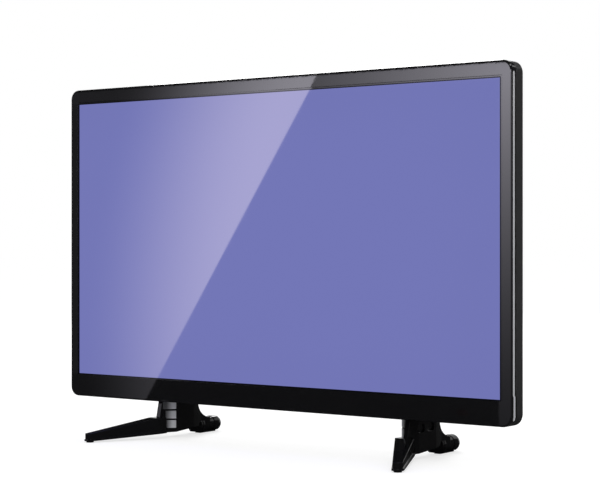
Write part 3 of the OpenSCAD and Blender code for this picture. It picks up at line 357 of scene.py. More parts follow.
def smooth_plastic(name, tone, rough=0.35, change=0.1):
    """Plain small moulding with a little unevenness."""
    finish = Finish(name, specular_ior_level=0.45)
    clouds = finish.grain(4 * MM, detail=4)
    finish.tint(tone, change, clouds)
    finish.gloss(low=rough * 0.8, high=rough * 1.25, grain=finish.grain(1.5 * MM))
    finish.relief(10 * MICRON, clouds, soften=0.2 * MM)
    return finish.material


def metal(name, tone, rough=0.3, brush=(1, 1, 1), size=2 * MM):
    """Bare or plated metal; a stretched grain makes it brushed."""
    finish = Finish(name, metallic=1.0)
    lines = finish.grain(size, detail=5, stretch=brush)
    finish.tint(tone, change=0.12, grain=finish.grain(12 * MM))
    finish.gloss(low=rough * 0.8, high=rough * 1.3, grain=lines)
    finish.relief(6 * MICRON, lines, soften=0.25 * MM)
    return finish.material


def socket_shell(name, tone, shells):
    """Plated shells of flat sockets, given by their corners, with a dark plastic tongue and floor."""
    finish = Finish(name)
    dark = 0.0
    for lo, hi in shells:
        inside = 1.0
        for axis, low, high in (("Y", lo.y, hi.y), ("Z", lo.z, hi.z)):
            off = finish.off(finish.axis(axis), (low + high) / 2)
            inside = finish.times(inside, finish.under(off, (high - low) / 2 - SHELL_WALL))
        dark = finish.larger(dark, inside)
    plate = finish.mixed(finish.grain(12 * MM), darker(tone, share=0.88), tone)
    finish.coat(base_color=finish.mixed(dark, plate, grey(0.014)), metallic=finish.minus(1.0, dark))
    lines = finish.grain(2 * MM, detail=5)
    finish.gloss(low=0.16, high=0.26, grain=lines)
    finish.relief(6 * MICRON, lines, soften=0.25 * MM)
    return finish.material


def silver_lacquer(name, drawn):
    """Silver lacquer that still lacks its colour, and its fine lines drawn along one axis."""
    finish = Finish(name, metallic=0.3, specular_ior_level=0.5)
    lines = finish.grain(0.6 * MM, stretch=drawn)
    finish.gloss(low=0.24, high=0.4, grain=lines)
    finish.relief(4 * MICRON, lines, soften=0.3 * MM)
    return finish, lines


def flaked_silver(name, tone):
    """Silver lacquer with fine flake and a grain drawn upwards."""
    finish, lines = silver_lacquer(name, drawn=(1, 1, 0.02))
    flake = finish.spread(finish.cells(0.25 * MM), low=1.0, high=0.7)
    finish.tint(tone, change=0.1, grain=finish.times(lines, flake))
    return finish.material


def painted_shade_silver(name, tone, inner, outer):
    """Silver lacquer on the legs' bars, with painted shade that darkens them from their inner to their
    outer edge.
    """
    finish, lines = silver_lacquer(name, drawn=(0.05, 0.05, 1))
    # Painted shade: full colour near the inner edge, falling to a dark share of it towards the outer edge,
    # in place of the shading of a curved face
    bright_to = inner + 0.18 * (outer - inner)
    painted_shade_from = inner + 0.68 * (outer - inner)
    off = finish.off(finish.axis("X"), middle=0.0)
    bright = finish.spread(off, low=1.0, high=0.0, start=bright_to, end=painted_shade_from, kind="SMOOTHSTEP")
    bright = finish.times(bright, finish.spread(lines, low=0.9, high=1.0))
    finish.coat(base_color=finish.mixed(bright, darker(tone, share=0.14), tone))
    return finish.material


def circuit_board(name, mask, copper):
    """Solder mask with the copper tracks showing through."""
    finish = Finish(name, specular_ior_level=0.5)
    bricks = finish.node("TexBrick", offset=0.37, squash=0.6, squash_frequency=3)
    tracks_per_metre = 260
    finish.feed(bricks, vector=finish.stretched([tracks_per_metre] * 3), scale=1.0, mortar_size=0.06)
    tracks = bricks.outputs["Fac"]
    clouds = finish.grain(20 * MM, detail=2)
    base = finish.mixed(clouds, darker(mask, share=0.8), mask)
    finish.coat(base_color=finish.mixed(tracks, base, copper))
    finish.gloss(low=0.25, high=0.4, grain=clouds)
    finish.relief(20 * MICRON, tracks)
    return finish.material


def lit_picture(name, tone):
    """Panel with its lit picture area and the unlit border round it."""
    finish = Finish(name, base_color=(0.004, 0.004, 0.005), ior=1.5, emission_strength=1.0)
    middle = PANEL_MIDDLE - Vector((sizes().picture_left, 0, sizes().picture_low))
    lit, beyond = 1.0, -1.0
    even_share, edge_level = 0.6, 0.985
    level = finish.spread(finish.grain(90 * MM, detail=1), low=0.99, high=1.01)
    width, height = sizes().picture_width, sizes().picture_height
    for axis, place, size in (("X", middle.x, width), ("Z", middle.z, height)):
        half = size / 2
        off = finish.off(finish.axis(axis), place)
        lit = finish.times(lit, finish.under(off, half))
        beyond = finish.larger(beyond, finish.minus(off, half))
        fall = finish.spread(off, 1.0, edge_level, half * even_share, half, "SMOOTHSTEP")
        level = finish.times(level, fall)
    unlit, dark_shine, picture_shine = (0.001, 0.001, 0.0012), (0.45, 0.45, 0.5), (1, 0.9, 0.69)
    border_shine = finish.mixed(finish.under(beyond, DARK_BORDER), grey(1), dark_shine)
    finish.coat(emission_color=finish.mixed(finish.times(lit, level), unlit, tone),
                specular_tint=finish.mixed(lit, border_shine, picture_shine))
    finish.gloss(low=0.02, high=0.035, grain=finish.grain(20 * MM, detail=2))
    return finish.material


def dark_window(name, tone):
    """Dark red window that passes infrared light."""
    finish = Finish(name, specular_ior_level=0.5)
    finish.tint(tone, change=0.3, grain=finish.grain(5 * MM, detail=2))
    finish.gloss(low=0.04, high=0.09, grain=finish.grain(2 * MM))
    finish.relief(4 * MICRON, finish.grain(3 * MM, detail=2), soften=0.3 * MM)
    return finish.material


def clear_plastic(name, tone, passes, rough):
    """Milky or clear light-guiding plastic."""
    finish = Finish(name, transmission_weight=passes, ior=1.49)
    finish.tint(tone, change=0.04, grain=finish.grain(30 * MM, detail=2))
    finish.gloss(low=rough * 0.85, high=rough * 1.15, grain=finish.grain(1 * MM, detail=2))
    return finish.material


def ribbed_paper(name, tone, rib):
    """Pressed paper or flat cable with parallel ribs."""
    finish = Finish(name, specular_ior_level=0.25)
    waves = finish.node("TexWave", wave_type="BANDS", bands_direction="X")
    ribs = finish.feed(waves, vector=finish.stretched([1 / rib] * 3), scale=0.16).outputs["Fac"]
    finish.tint(tone, change=0.25, grain=ribs)
    finish.gloss(low=0.45, high=0.65, grain=finish.grain(3 * MM))
    finish.relief(50 * MICRON, ribs)
    return finish.material


def dress(finish, *names):
    """Gives CAD pieces a finish."""
    for name in names:
        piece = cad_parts[name]
        if not piece.material_slots:
            piece.data.materials.append(finish)
        for place in piece.material_slots:
            place.material = finish


# Building new pieces

# Points closer than this are one point of a CAD solid
SAME_POINT = 1 * MICRON
SHARP_EDGE = math.radians(35)


def solids(name):
    """Lowest and highest corners of each separate solid of a CAD node, in order of X, then Z."""
    shape = bmesh.new()
    shape.from_mesh(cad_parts[name].data)
    bmesh.ops.remove_doubles(shape, verts=shape.verts, dist=SAME_POINT)
    left = set(shape.verts)
    boxes = []
    while left:
        group = [left.pop()]
        for vert in group:
            for edge in vert.link_edges:
                other = edge.other_vert(vert)
                if other in left:
                    left.remove(other)
                    group.append(other)
        boxes.append([Vector(pick(v.co[k] for v in group) for k in range(3)) for pick in (min, max)])
    shape.free()
    return sorted(boxes, key=lambda box: (round(box[0].x, 4), round(box[0].z, 4)))


def new_object(name, shape, finish):
    """An object of a shape that is complete."""
    mesh = bpy.data.meshes.new(name)
    shape.to_mesh(mesh)
    shape.free()
    mesh.materials.append(finish)
    made = bpy.data.objects.new(name, mesh)
    bpy.context.scene.collection.objects.link(made)
    return made


def add_piece(name, shape, finish, body=SET, smooth=False):
    """A piece that rides on a body."""
    bmesh.ops.recalc_face_normals(shape, faces=shape.faces)
    piece = new_object(name, shape, finish)
    if smooth:
        piece.data.shade_smooth()
        piece.data.set_sharp_from_angle(angle=SHARP_EDGE)
    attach(piece, body)
    return piece


def row_of_points(shape, place, points):
    """New points at local places."""
    return [shape.verts.new(place @ Vector(point)) for point in points]


def ring(radius, height, sides):
    """Local places on a circle about the local axis."""
    turns = [2 * math.pi * i / sides for i in range(sides)]
    return [(radius * math.cos(a), radius * math.sin(a), height) for a in turns]


def bridge(shape, first, second):
    """A band of faces between two rows of points."""
    count = len(first)
    for i in range(count):
        j = (i + 1) % count
        shape.faces.new((first[i], first[j], second[j], second[i]))


def lathe(shape, profile, sides, place, close_end=False):
    """A turned form from (radius, height) points."""
    rows = [row_of_points(shape, place, ring(radius, height, sides)) for radius, height in profile]
    for first, second in zip(rows, rows[1:]):
        bridge(shape, first, second)
    if close_end:
        shape.faces.new(rows[-1])
    return rows


def prism(shape, outline, base, height, draft):
    """A raised shape: an outline of points pushed out along a height, its top drawn in by draft."""
    middle = sum(outline, Vector((0, 0, 0))) / len(outline)
    low = [shape.verts.new(p + base) for p in outline]
    high = [shape.verts.new(middle + (p - middle) * (1 - draft) + base + height) for p in outline]
    bridge(shape, low, high)
    shape.faces.new(list(reversed(low)))
    shape.faces.new(high)


def block(x0, x1, z0, z1):
    """Corners of a rectangle."""
    return [(x0, z0), (x1, z0), (x1, z1), (x0, z1)]


# Screws: shares of the head's radius and height, of the shank's radius, and of the shank's length
HEAD_PROFILE = ((1, 0), (1, 0.35), (0.96, 0.62), (0.86, 0.85), (0.7, 1))
RECESS_ARM, RECESS_WIDTH, RECESS_DEPTH, RECESS_TAPER = 0.56, 0.13, 0.75, 0.7
THREAD_ROOT = 0.78
POINT_START, POINT_LOSS = 0.86, 0.75
STEPS_PER_TURN, THREAD_SIDES = 4, 12


def cross_outline(arm, width):
    """Corners of a cross, counter-clockwise."""
    a, w = arm, width
    return [(a, -w), (a, w), (w, w), (w, a), (-w, a), (-w, w),
            (-a, w), (-a, -w), (-w, -w), (-w, -a), (w, -a), (w, -w)]


def cross_screw(shape, place, head_r, head_h, shank_r, shank_len):
    """Pan-headed screw with a tapered cross recess and a cut thread; its head rises along local +Z."""
    head = [(shank_r, 0)] + [(head_r * r, head_h * h) for r, h in HEAD_PROFILE]
    rows = lathe(shape, head, sizes().head_sides, place)
    cross = cross_outline(head_r * RECESS_ARM, head_r * RECESS_WIDTH)
    bottom = head_h - head_h * RECESS_DEPTH
    mouth = row_of_points(shape, place, [(x, y, head_h) for x, y in cross])
    floor = row_of_points(shape, place, [(x * RECESS_TAPER, y * RECESS_TAPER, bottom) for x, y in cross])
    rim = []
    for loop in (rows[-1], mouth):
        for i, vert in enumerate(loop):
            after = loop[(i + 1) % len(loop)]
            rim.append(shape.edges.get((vert, after)) or shape.edges.new((vert, after)))
    bmesh.ops.triangle_fill(shape, use_beauty=True, edges=rim)
    bridge(shape, mouth, floor)
    shape.faces.new(floor)
    thread = cut_thread(shape, place, shank_r, shank_len)
    for first, second in zip(thread, thread[1:]):
        bridge(shape, first, second)
    shape.faces.new(thread[-1])


def cut_thread(shape, place, shank_r, shank_len):
    """Rows of points down a threaded shank with a tapered point."""
    steps = max(int(shank_len / sizes().thread_pitch * STEPS_PER_TURN), STEPS_PER_TURN)
    rows = []
    for k in range(steps + 1):
        depth = k / steps
        taper = 1.0 - POINT_LOSS * max(depth - POINT_START, 0.0) / (1 - POINT_START)
        points = []
        for i in range(THREAD_SIDES):
            phase = (k / STEPS_PER_TURN + i / THREAD_SIDES) % 1.0
            crest = 1.0 - abs(2 * phase - 1)
            r = shank_r * taper * (THREAD_ROOT + (1 - THREAD_ROOT) * crest)
            a = 2 * math.pi * i / THREAD_SIDES
            points.append((r * math.cos(a), r * math.sin(a), -depth * shank_len))
        rows.append(row_of_points(shape, place, points))
    return rows


# Pieces

class TELEVISION_OT_screen(bpy.types.Operator):
    """Lit panel and the optical layers behind it"""

    bl_idname = "television.screen"
    bl_label = "Screen"

    def execute(self, context):
        dress(lit_picture("lit picture", colours().picture), "lcd_panel")
        dress(smooth_plastic("frame plastic", grey(0.02), rough=0.5), "mid_frame")
        dress(clear_plastic("brightness film", (0.86, 0.87, 0.9), passes=0.6, rough=0.3), "optical_film")
        dress(clear_plastic("diffuser", grey(0.9), passes=0.4, rough=0.6), "diffuser_plate")
        dress(smooth_plastic("white reflector", grey(0.86), rough=0.55, change=0.03), "reflector_sheet")
        dress(smooth_plastic("lamp bar", (0.7, 0.7, 0.68), rough=0.4), "led_bars")
        dress(clear_plastic("lamp lens", grey(0.95), passes=0.95, rough=0.06), "led_lenses")
        dress(metal("pressed steel", (0.5, 0.51, 0.53), rough=0.38, size=6 * MM), "back_chassis")
        return {"FINISHED"}


class TELEVISION_OT_bezel(bpy.types.Operator):
    """Glossy frame, silver strips in its sides and the receiver's window"""

    bl_idname = "television.bezel"
    bl_label = "Front bezel"

    def execute(self, context):
        gloss = glossy_plastic("gloss black", colours().gloss_black, rough=0.025,
                               soften=sizes().edge_softness, window_bevel=True)
        dress(gloss, "front_bezel")
        dress(flaked_silver("silver strip", colours().silver), "side_trim_left", "side_trim_right")
        dress(dark_window("receiver window", colours().window_red), "infrared_window")
        return {"FINISHED"}


class TELEVISION_OT_cover(bpy.types.Operator):
    """Moulded rear cover with its wall mount posts"""

    bl_idname = "television.cover"
    bl_label = "Rear cover"

    def execute(self, context):
        moulded = grained_plastic("cover plastic", colours().cover_grey, sizes().cover_grain,
                                  sizes().cover_grain_depth, rough=0.42, shine=0.25)
        dress(moulded, "rear_cover")
        dress(metal("zinc posts", grey(0.6), rough=0.28), "wall_mount_posts")
        return {"FINISHED"}


class TELEVISION_OT_legs(bpy.types.Operator):
    """Splayed legs with their silver bars, pads and brackets"""

    bl_idname = "television.legs"
    bl_label = "Legs"

    def execute(self, context):
        gloss = glossy_plastic("leg black", colours().leg_black, rough=0.09, soften=0.8 * MM, shine=0.24)
        dress(gloss, "leg_left", "leg_right")
        lo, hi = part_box("leg_inlay_right")
        # The bars get painted shade across their width, darker towards their outer edge
        bars = painted_shade_silver("silver bars", colours().silver, lo.x, hi.x)
        dress(bars, "leg_inlay_left", "leg_inlay_right")
        rubber = grained_plastic("pad rubber", grey(0.015), grain=0.8 * MM, depth=60 * MICRON, rough=0.8)
        dress(rubber, "leg_pads")
        steel = metal("bracket steel", (0.52, 0.53, 0.55), rough=0.36)
        dress(steel, "stand_bracket_left", "stand_bracket_right")
        return {"FINISHED"}


AXIS_Y, AXIS_Z = 1, 2
SCREWS = (
    # node, turn of its head about X in degrees, axis of its shank, head's height, shank's radius
    ("cover_screws", -90, AXIS_Y, 2 * MM, 1.4 * MM),
    ("leg_screws", 180, AXIS_Z, 3 * MM, 1.95 * MM),
)


class TELEVISION_OT_screws(bpy.types.Operator):
    """Cross-recessed screws of the cover and the legs"""

    bl_idname = "television.screws"
    bl_label = "Screws"

    def execute(self, context):
        finish = metal("blackened steel", (0.085, 0.085, 0.09), rough=0.34)
        for node, turn, axis, head_h, shank_r in SCREWS:
            facing = Matrix.Rotation(math.radians(turn), 4, "X")
            shape = bmesh.new()
            for lo, hi in solids(node):
                seat = (lo + hi) / 2
                seat[axis] = hi[axis] - head_h if axis == AXIS_Y else lo[axis] + head_h
                head_r = (hi.x - lo.x) / 2
                place = Matrix.Translation(seat) @ facing
                cross_screw(shape, place, head_r, head_h, shank_r, hi[axis] - lo[axis] - head_h)
            screws = add_piece(node + "_cut", shape, finish, smooth=True)
            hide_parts(node)
        return {"FINISHED"}


# Keys' signs: how far they reach from their middle, and shares of that reach
SIGN_REACH = 1.5 * MM
SIGN_SUNK = 0.02 * MM
SIGN_DRAFT = 0.03
ARROW = ((-1, -0.75), (1, -0.75), (0, 0.9))
SOURCE_POINT = ((-0.1, -0.6), (0.75, 0), (-0.1, 0.6))
SOURCE_TAIL = (-1.2, -0.15)
POWER_BAR = 1.1
POWER_ARC = (125, 415)
POWER_ARC_BLOCKS = 14
# Distance between the menu's bars, in line widths
MENU_PITCH = 2.2


class TELEVISION_OT_keys(bpy.types.Operator):
    """Keys on the back, each with a raised sign"""

    bl_idname = "television.keys"
    bl_label = "Keys"

    def execute(self, context):
        dress(smooth_plastic("key plastic", colours().key_grey, rough=0.4), *("key_" + key for key in KEYS))
        finish = smooth_plastic("key sign", colours().sign_grey, rough=0.5, change=0.05)
        height = Vector((0, sizes().sign_height, 0))
        for key in KEYS:
            lo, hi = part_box("key_" + key)
            base = Vector(((lo.x + hi.x) / 2, hi.y - SIGN_SUNK, (lo.z + hi.z) / 2))
            shape = bmesh.new()
            for outline in self.sign(key):
                prism(shape, [Vector((-x, 0, z)) for x, z in outline], base, height, SIGN_DRAFT)
            add_piece("sign_" + key, shape, finish, key + "_key")
        return {"FINISHED"}

    def sign(self, key):
        """Outlines of a key's sign, as seen from behind the set."""
        size, line = SIGN_REACH, sizes().sign_line
        half = line / 2
        bar = block(-size, size, -half, half)
        side = block(half, size, -half, half)
        arrow = [(x * size, z * size) for x, z in ARROW]
        point = [(x * size, z * size) for x, z in SOURCE_POINT]
        tail = block(SOURCE_TAIL[0] * size, SOURCE_TAIL[1] * size, -half, half)
        signs = {
            "power": self.arc(size, line) + [block(-half, half, 0, POWER_BAR * size)],
            "source": [point, tail, block(size, size + line, -size, size)],
            "menu": [[(x, z + k * line * MENU_PITCH) for x, z in bar] for k in (-1, 0, 1)],
            "channel_up": [arrow],
            "channel_down": [[(-x, -z) for x, z in arrow]],
            "volume_down": [bar],
            "volume_up": [block(-half, half, -size, size), side, [(-x, -z) for x, z in side]],
        }
        return signs[key]

    def arc(self, radius, line):
        """Blocks along the open ring of the power sign."""
        start, end = (math.radians(turn) for turn in POWER_ARC)
        ends = [start + (end - start) * i / POWER_ARC_BLOCKS for i in range(POWER_ARC_BLOCKS + 1)]
        inner, outer = radius - line / 2, radius + line / 2
        blocks = []
        for a, b in zip(ends, ends[1:]):
            corners = ((inner, a), (outer, a), (outer, b), (inner, b))
            blocks.append([(r * math.cos(turn), r * math.sin(turn)) for r, turn in corners])
        return blocks


# Sockets: colours of the jacks, and (radius, height above the mouth) of turned pieces in millimetres
JACKS = {"red": (0.5, 0.02, 0.02), "white": (0.72, 0.72, 0.7), "yellow": (0.72, 0.47, 0.03)}
JACK_SLEEVE = ((4.17, -7.4), (4.32, -7.4), (4.32, -6.9), (4.22, -6.8), (4.22, -0.4), (4.1, 0),
               (3.7, 0.12), (3.3, 0.12), (3.25, -0.02))
HEADPHONE_RING = ((2.75, -0.02), (2.7, 0.15), (2.1, 0.15), (1.95, 0.05), (1.92, -0.02))
ANTENNA_RING = ((1.9, -0.02), (1.85, 0.1), (1.35, 0.1), (1.3, -0.02))
ANTENNA_INSULATOR = ((4.3, -0.02), (4.2, 0.08), (2.0, 0.08), (1.95, -0.02))
INLET_PIN = ((1.24, -10), (1.24, -0.6), (1.116, -0.2), (0.744, 0.06), (0.248, 0.12))
SLEEVE_SIDES, PIN_SIDES = 36, 24
# Mains inlet: how far its pins stand back from its mouth and to each side of its middle
PIN_SET_BACK, PIN_ASIDE = 1.0 * MM, 4.3 * MM
# Points within this distance of a round socket's end are on its rim
RIM_DEPTH = 0.02 * MM
# Contact strips: room beside them, ends from the mouth, depth in the tongue and height above it
CONTACT_ROOM = 2.6 * MM
CONTACT_START, CONTACT_END = 1.9 * MM, 7.5 * MM
CONTACT_SUNK, CONTACT_PROUD = 0.02 * MM, 0.12 * MM
# Shares of a strip's pitch, and of its outline
CONTACT_SPACE, CONTACT_WIDTH = 0.22, 0.56
CONTACT_DRAFT = 0.15


class TELEVISION_OT_sockets(bpy.types.Operator):
    """Sockets in the two wells, with their contacts, sleeves and pins"""

    bl_idname = "television.sockets"
    bl_label = "Sockets"

    def execute(self, context):
        nickel = (0.66, 0.65, 0.62)
        plated = metal("nickel plate", nickel, rough=0.2)
        gold = metal("gold contacts", (0.83, 0.62, 0.24), rough=0.22)
        dress(plated, "antenna_socket", "tuner_can")
        for name, node in (("picture socket shell", "hdmi_sockets"), ("data socket shell", "usb_socket")):
            dress(socket_shell(name, nickel, solids(node)), node)
        for name, tone in JACKS.items():
            dress(smooth_plastic(name + " jack", tone, rough=0.32), "av_jack_" + name)
        dress(smooth_plastic("black socket", grey(0.02)), "headphone_jack", "mains_inlet")
        self.tongue_contacts("picture_socket_contacts", "hdmi_sockets", gold, count=10, tongue=1.0 * MM)
        self.tongue_contacts("data_socket_contacts", "usb_socket", gold, count=4, tongue=1.8 * MM)
        self.sleeves(plated)
        self.inlet_pins(plated)
        return {"FINISHED"}

    def tongue_contacts(self, name, node, finish, count, tongue):
        """Strips along both faces of a socket's tongue."""
        shape = bmesh.new()
        for lo, hi in solids(node):
            middle = (lo.y + hi.y) / 2
            start, end = lo.z + CONTACT_ROOM, hi.z - CONTACT_ROOM
            pitch = (end - start) / count
            for i in range(count):
                low = start + (i + CONTACT_SPACE) * pitch
                corners = block(lo.x + CONTACT_START, lo.x + CONTACT_END, low, low + CONTACT_WIDTH * pitch)
                outline = [Vector((x, 0, z)) for x, z in corners]
                for side in (-1, 1):
                    base = Vector((0, middle + side * (tongue / 2 - CONTACT_SUNK), 0))
                    height = Vector((0, side * (CONTACT_SUNK + CONTACT_PROUD), 0))
                    prism(shape, outline, base, height, CONTACT_DRAFT)
        add_piece(name, shape, finish)

    def turned(self, name, parts, sides, finish, slot="socket_metal", close_end=False):
        """A piece of turned forms, each with its profile in millimetres and its place."""
        shape = bmesh.new()
        for profile, place in parts:
            lathe(shape, [(r * MM, h * MM) for r, h in profile], sides, place, close_end)
        add_piece(name, shape, finish, smooth=True)

    def sleeves(self, finish):
        """Turned metal sleeves over the three jacks, and rings round the other round sockets."""
        sleeves = [(JACK_SLEEVE, self.mouth("av_jack_" + name)) for name in JACKS]
        self.turned("jack_sleeves", sleeves, SLEEVE_SIDES, finish)
        headphone, antenna = self.mouth("headphone_jack"), self.mouth("antenna_socket")
        rings = [(HEADPHONE_RING, headphone), (ANTENNA_RING, antenna)]
        self.turned("socket_rings", rings, SLEEVE_SIDES, finish)
        white = smooth_plastic("antenna insulator", (0.75, 0.74, 0.7), rough=0.4)
        insulator = [(ANTENNA_INSULATOR, antenna)]
        self.turned("antenna_insulator", insulator, SLEEVE_SIDES, white, "jack_white")

    def mouth(self, node):
        """Place of a round socket's open end, with local +Z out of it to the left."""
        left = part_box(node)[0].x
        rim = [v.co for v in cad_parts[node].data.vertices if v.co.x < left + RIM_DEPTH]
        y, z = ((min(p[k] for p in rim) + max(p[k] for p in rim)) / 2 for k in (1, 2))
        return Matrix.Translation((left, y, z)) @ Matrix.Rotation(math.radians(-90), 4, "Y")

    def inlet_pins(self, finish):
        """Two round-ended pins in the mains inlet."""
        lo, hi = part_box("mains_inlet")
        middle = (lo + hi) / 2
        out_right = Matrix.Rotation(math.radians(90), 4, "Y")
        pins = []
        for side in (-1, 1):
            tip = Vector((hi.x - PIN_SET_BACK, middle.y, middle.z + side * PIN_ASIDE))
            pins.append((INLET_PIN, Matrix.Translation(tip) @ out_right))
        self.turned("inlet_pins", pins, PIN_SIDES, finish, close_end=True)


class TELEVISION_OT_inside(bpy.types.Operator):
    """Boards, speakers and the other pieces inside the case"""

    bl_idname = "television.inside"
    bl_label = "Inside"

    def execute(self, context):
        green = circuit_board("green board", mask=(0.01, 0.09, 0.035), copper=(0.03, 0.16, 0.06))
        dress(green, "main_board", "driver_board", "key_board", "infrared_board")
        brown = circuit_board("brown board", mask=(0.19, 0.1, 0.03), copper=(0.26, 0.16, 0.06))
        dress(brown, "power_board")
        dress(smooth_plastic("chip black", (0.018, 0.018, 0.02), rough=0.55), "main_chips", "key_switches")
        sleeve = smooth_plastic("can sleeve", (0.02, 0.025, 0.06), rough=0.3)
        dress(sleeve, "main_capacitors", "bulk_capacitor")
        sink = metal("heat sink", (0.55, 0.56, 0.58), rough=0.35, brush=(1, 1, 0.05))
        dress(sink, "processor_heatsink", "power_heatsink")
        dress(metal("plated steel", (0.58, 0.58, 0.56)), "board_standoffs", "board_screws")
        dress(smooth_plastic("ferrite", (0.045, 0.042, 0.04), rough=0.6), "transformer")
        dress(ribbed_paper("flat cable", (0.62, 0.63, 0.66), rib=0.7 * MM), "panel_ribbon")
        dress(ribbed_paper("paper cone", grey(0.03), rib=2 * MM), "speaker_cones")
        box = grained_plastic("speaker box", grey(0.018), grain=1.2 * MM, depth=50 * MICRON)
        dress(box, "speaker_box_left", "speaker_box_right")
        return {"FINISHED"}


# Stage

SENSOR_WIDTH = 36
FLOOR_REACH = 12
FLOOR_PAPER, FLOOR_GLOW, FLOOR_PALE = 0.5, 0.69, 0.75
# Lamps: place and size
LAMP_AIM = (0, 0, 0.2)
KEY_LAMP, KEY_LAMP_SIZE = (1.3, -1.7, 1.9), 1.3
REAR_LAMP, REAR_LAMP_SIZE = (-1.2, 1.7, 1.6), 1.2

# Cards that gloss mirrors: a window before the set and the dark sides of a room
CARD_LEFT, CARD_RIGHT = -1.3, 0.62
CARD_FRONT, TABLE_FRONT, TABLE_BACK, WALL_BACK = FRONT_Y - 0.369, FRONT_Y - 0.2, 0.75, 1.3
TABLE_Z, WALL_TOP, WINDOW_TOP = 0.5 * MM, 0.8, 0.95
CEILING_LEFT, CEILING_Z = -0.9, 1.0
CARD_DARK, LEFT_WALL_GLOW = 0.012, 0.32
WINDOW_COLOUR = (1, 0.97, 1.1)

# The mirrored window as it is laid out on the front: heights of the front and the picture
FRONT_TOP, PICTURE_TOP, PICTURE_FOOT, FRONT_FOOT = 0.3693, 0.3566, 0.0638, 0.0395
# Its slanted edge: two points (x, z) on it, its blur, and its shift on the frame, which is nearer
EDGE_TOP, EDGE_FOOT = Vector((0.0555, 0.37)), Vector((-0.1623, 0.0455))
EDGE_BLUR, EDGE_ON_FRAME = 0.8 * MM, 1.7 * MM
# Its light: the bend (z times the first and plus the second, times z) that it fades to the left of
PANE_BEND = (0.72, -0.1124)
PICTURE_FADE = dict(low=0.02, high=1.0, start=-0.256, end=-0.0285, kind="SMOOTHSTEP")
FRAME_FADE = dict(low=0.033, high=1.155, start=-0.28, end=0.05, kind="SMOOTHERSTEP")
CHIN_FADE = dict(low=0.25, high=1.0, start=PICTURE_FOOT - 0.1 * MM, end=PICTURE_FOOT + 0.2 * MM)
# Glow round the frame's upper right corner: its middle (x, z), its share along x, its loss with distance
GLOW_MIDDLE, GLOW_ALONG, GLOW_LEVEL = Vector((0.264, 0.3595)), 0.78, 1.075
GLOW_LOSS = (-15.6, -5.27)
GLOW_PICTURE_END = 0.2585
GLOW_BESIDE = dict(low=1.0, high=0.0, start=0.275, end=0.305, kind="SMOOTHSTEP")
GLOW_ROUND_EDGE = dict(low=0.0, high=0.7, start=0.335, end=0.42, kind="SMOOTHSTEP")


def level_sheet(x0, x1, y0, y1, z):
    """Corners of a sheet that lies flat."""
    return [(x0, y0, z), (x1, y0, z), (x1, y1, z), (x0, y1, z)]


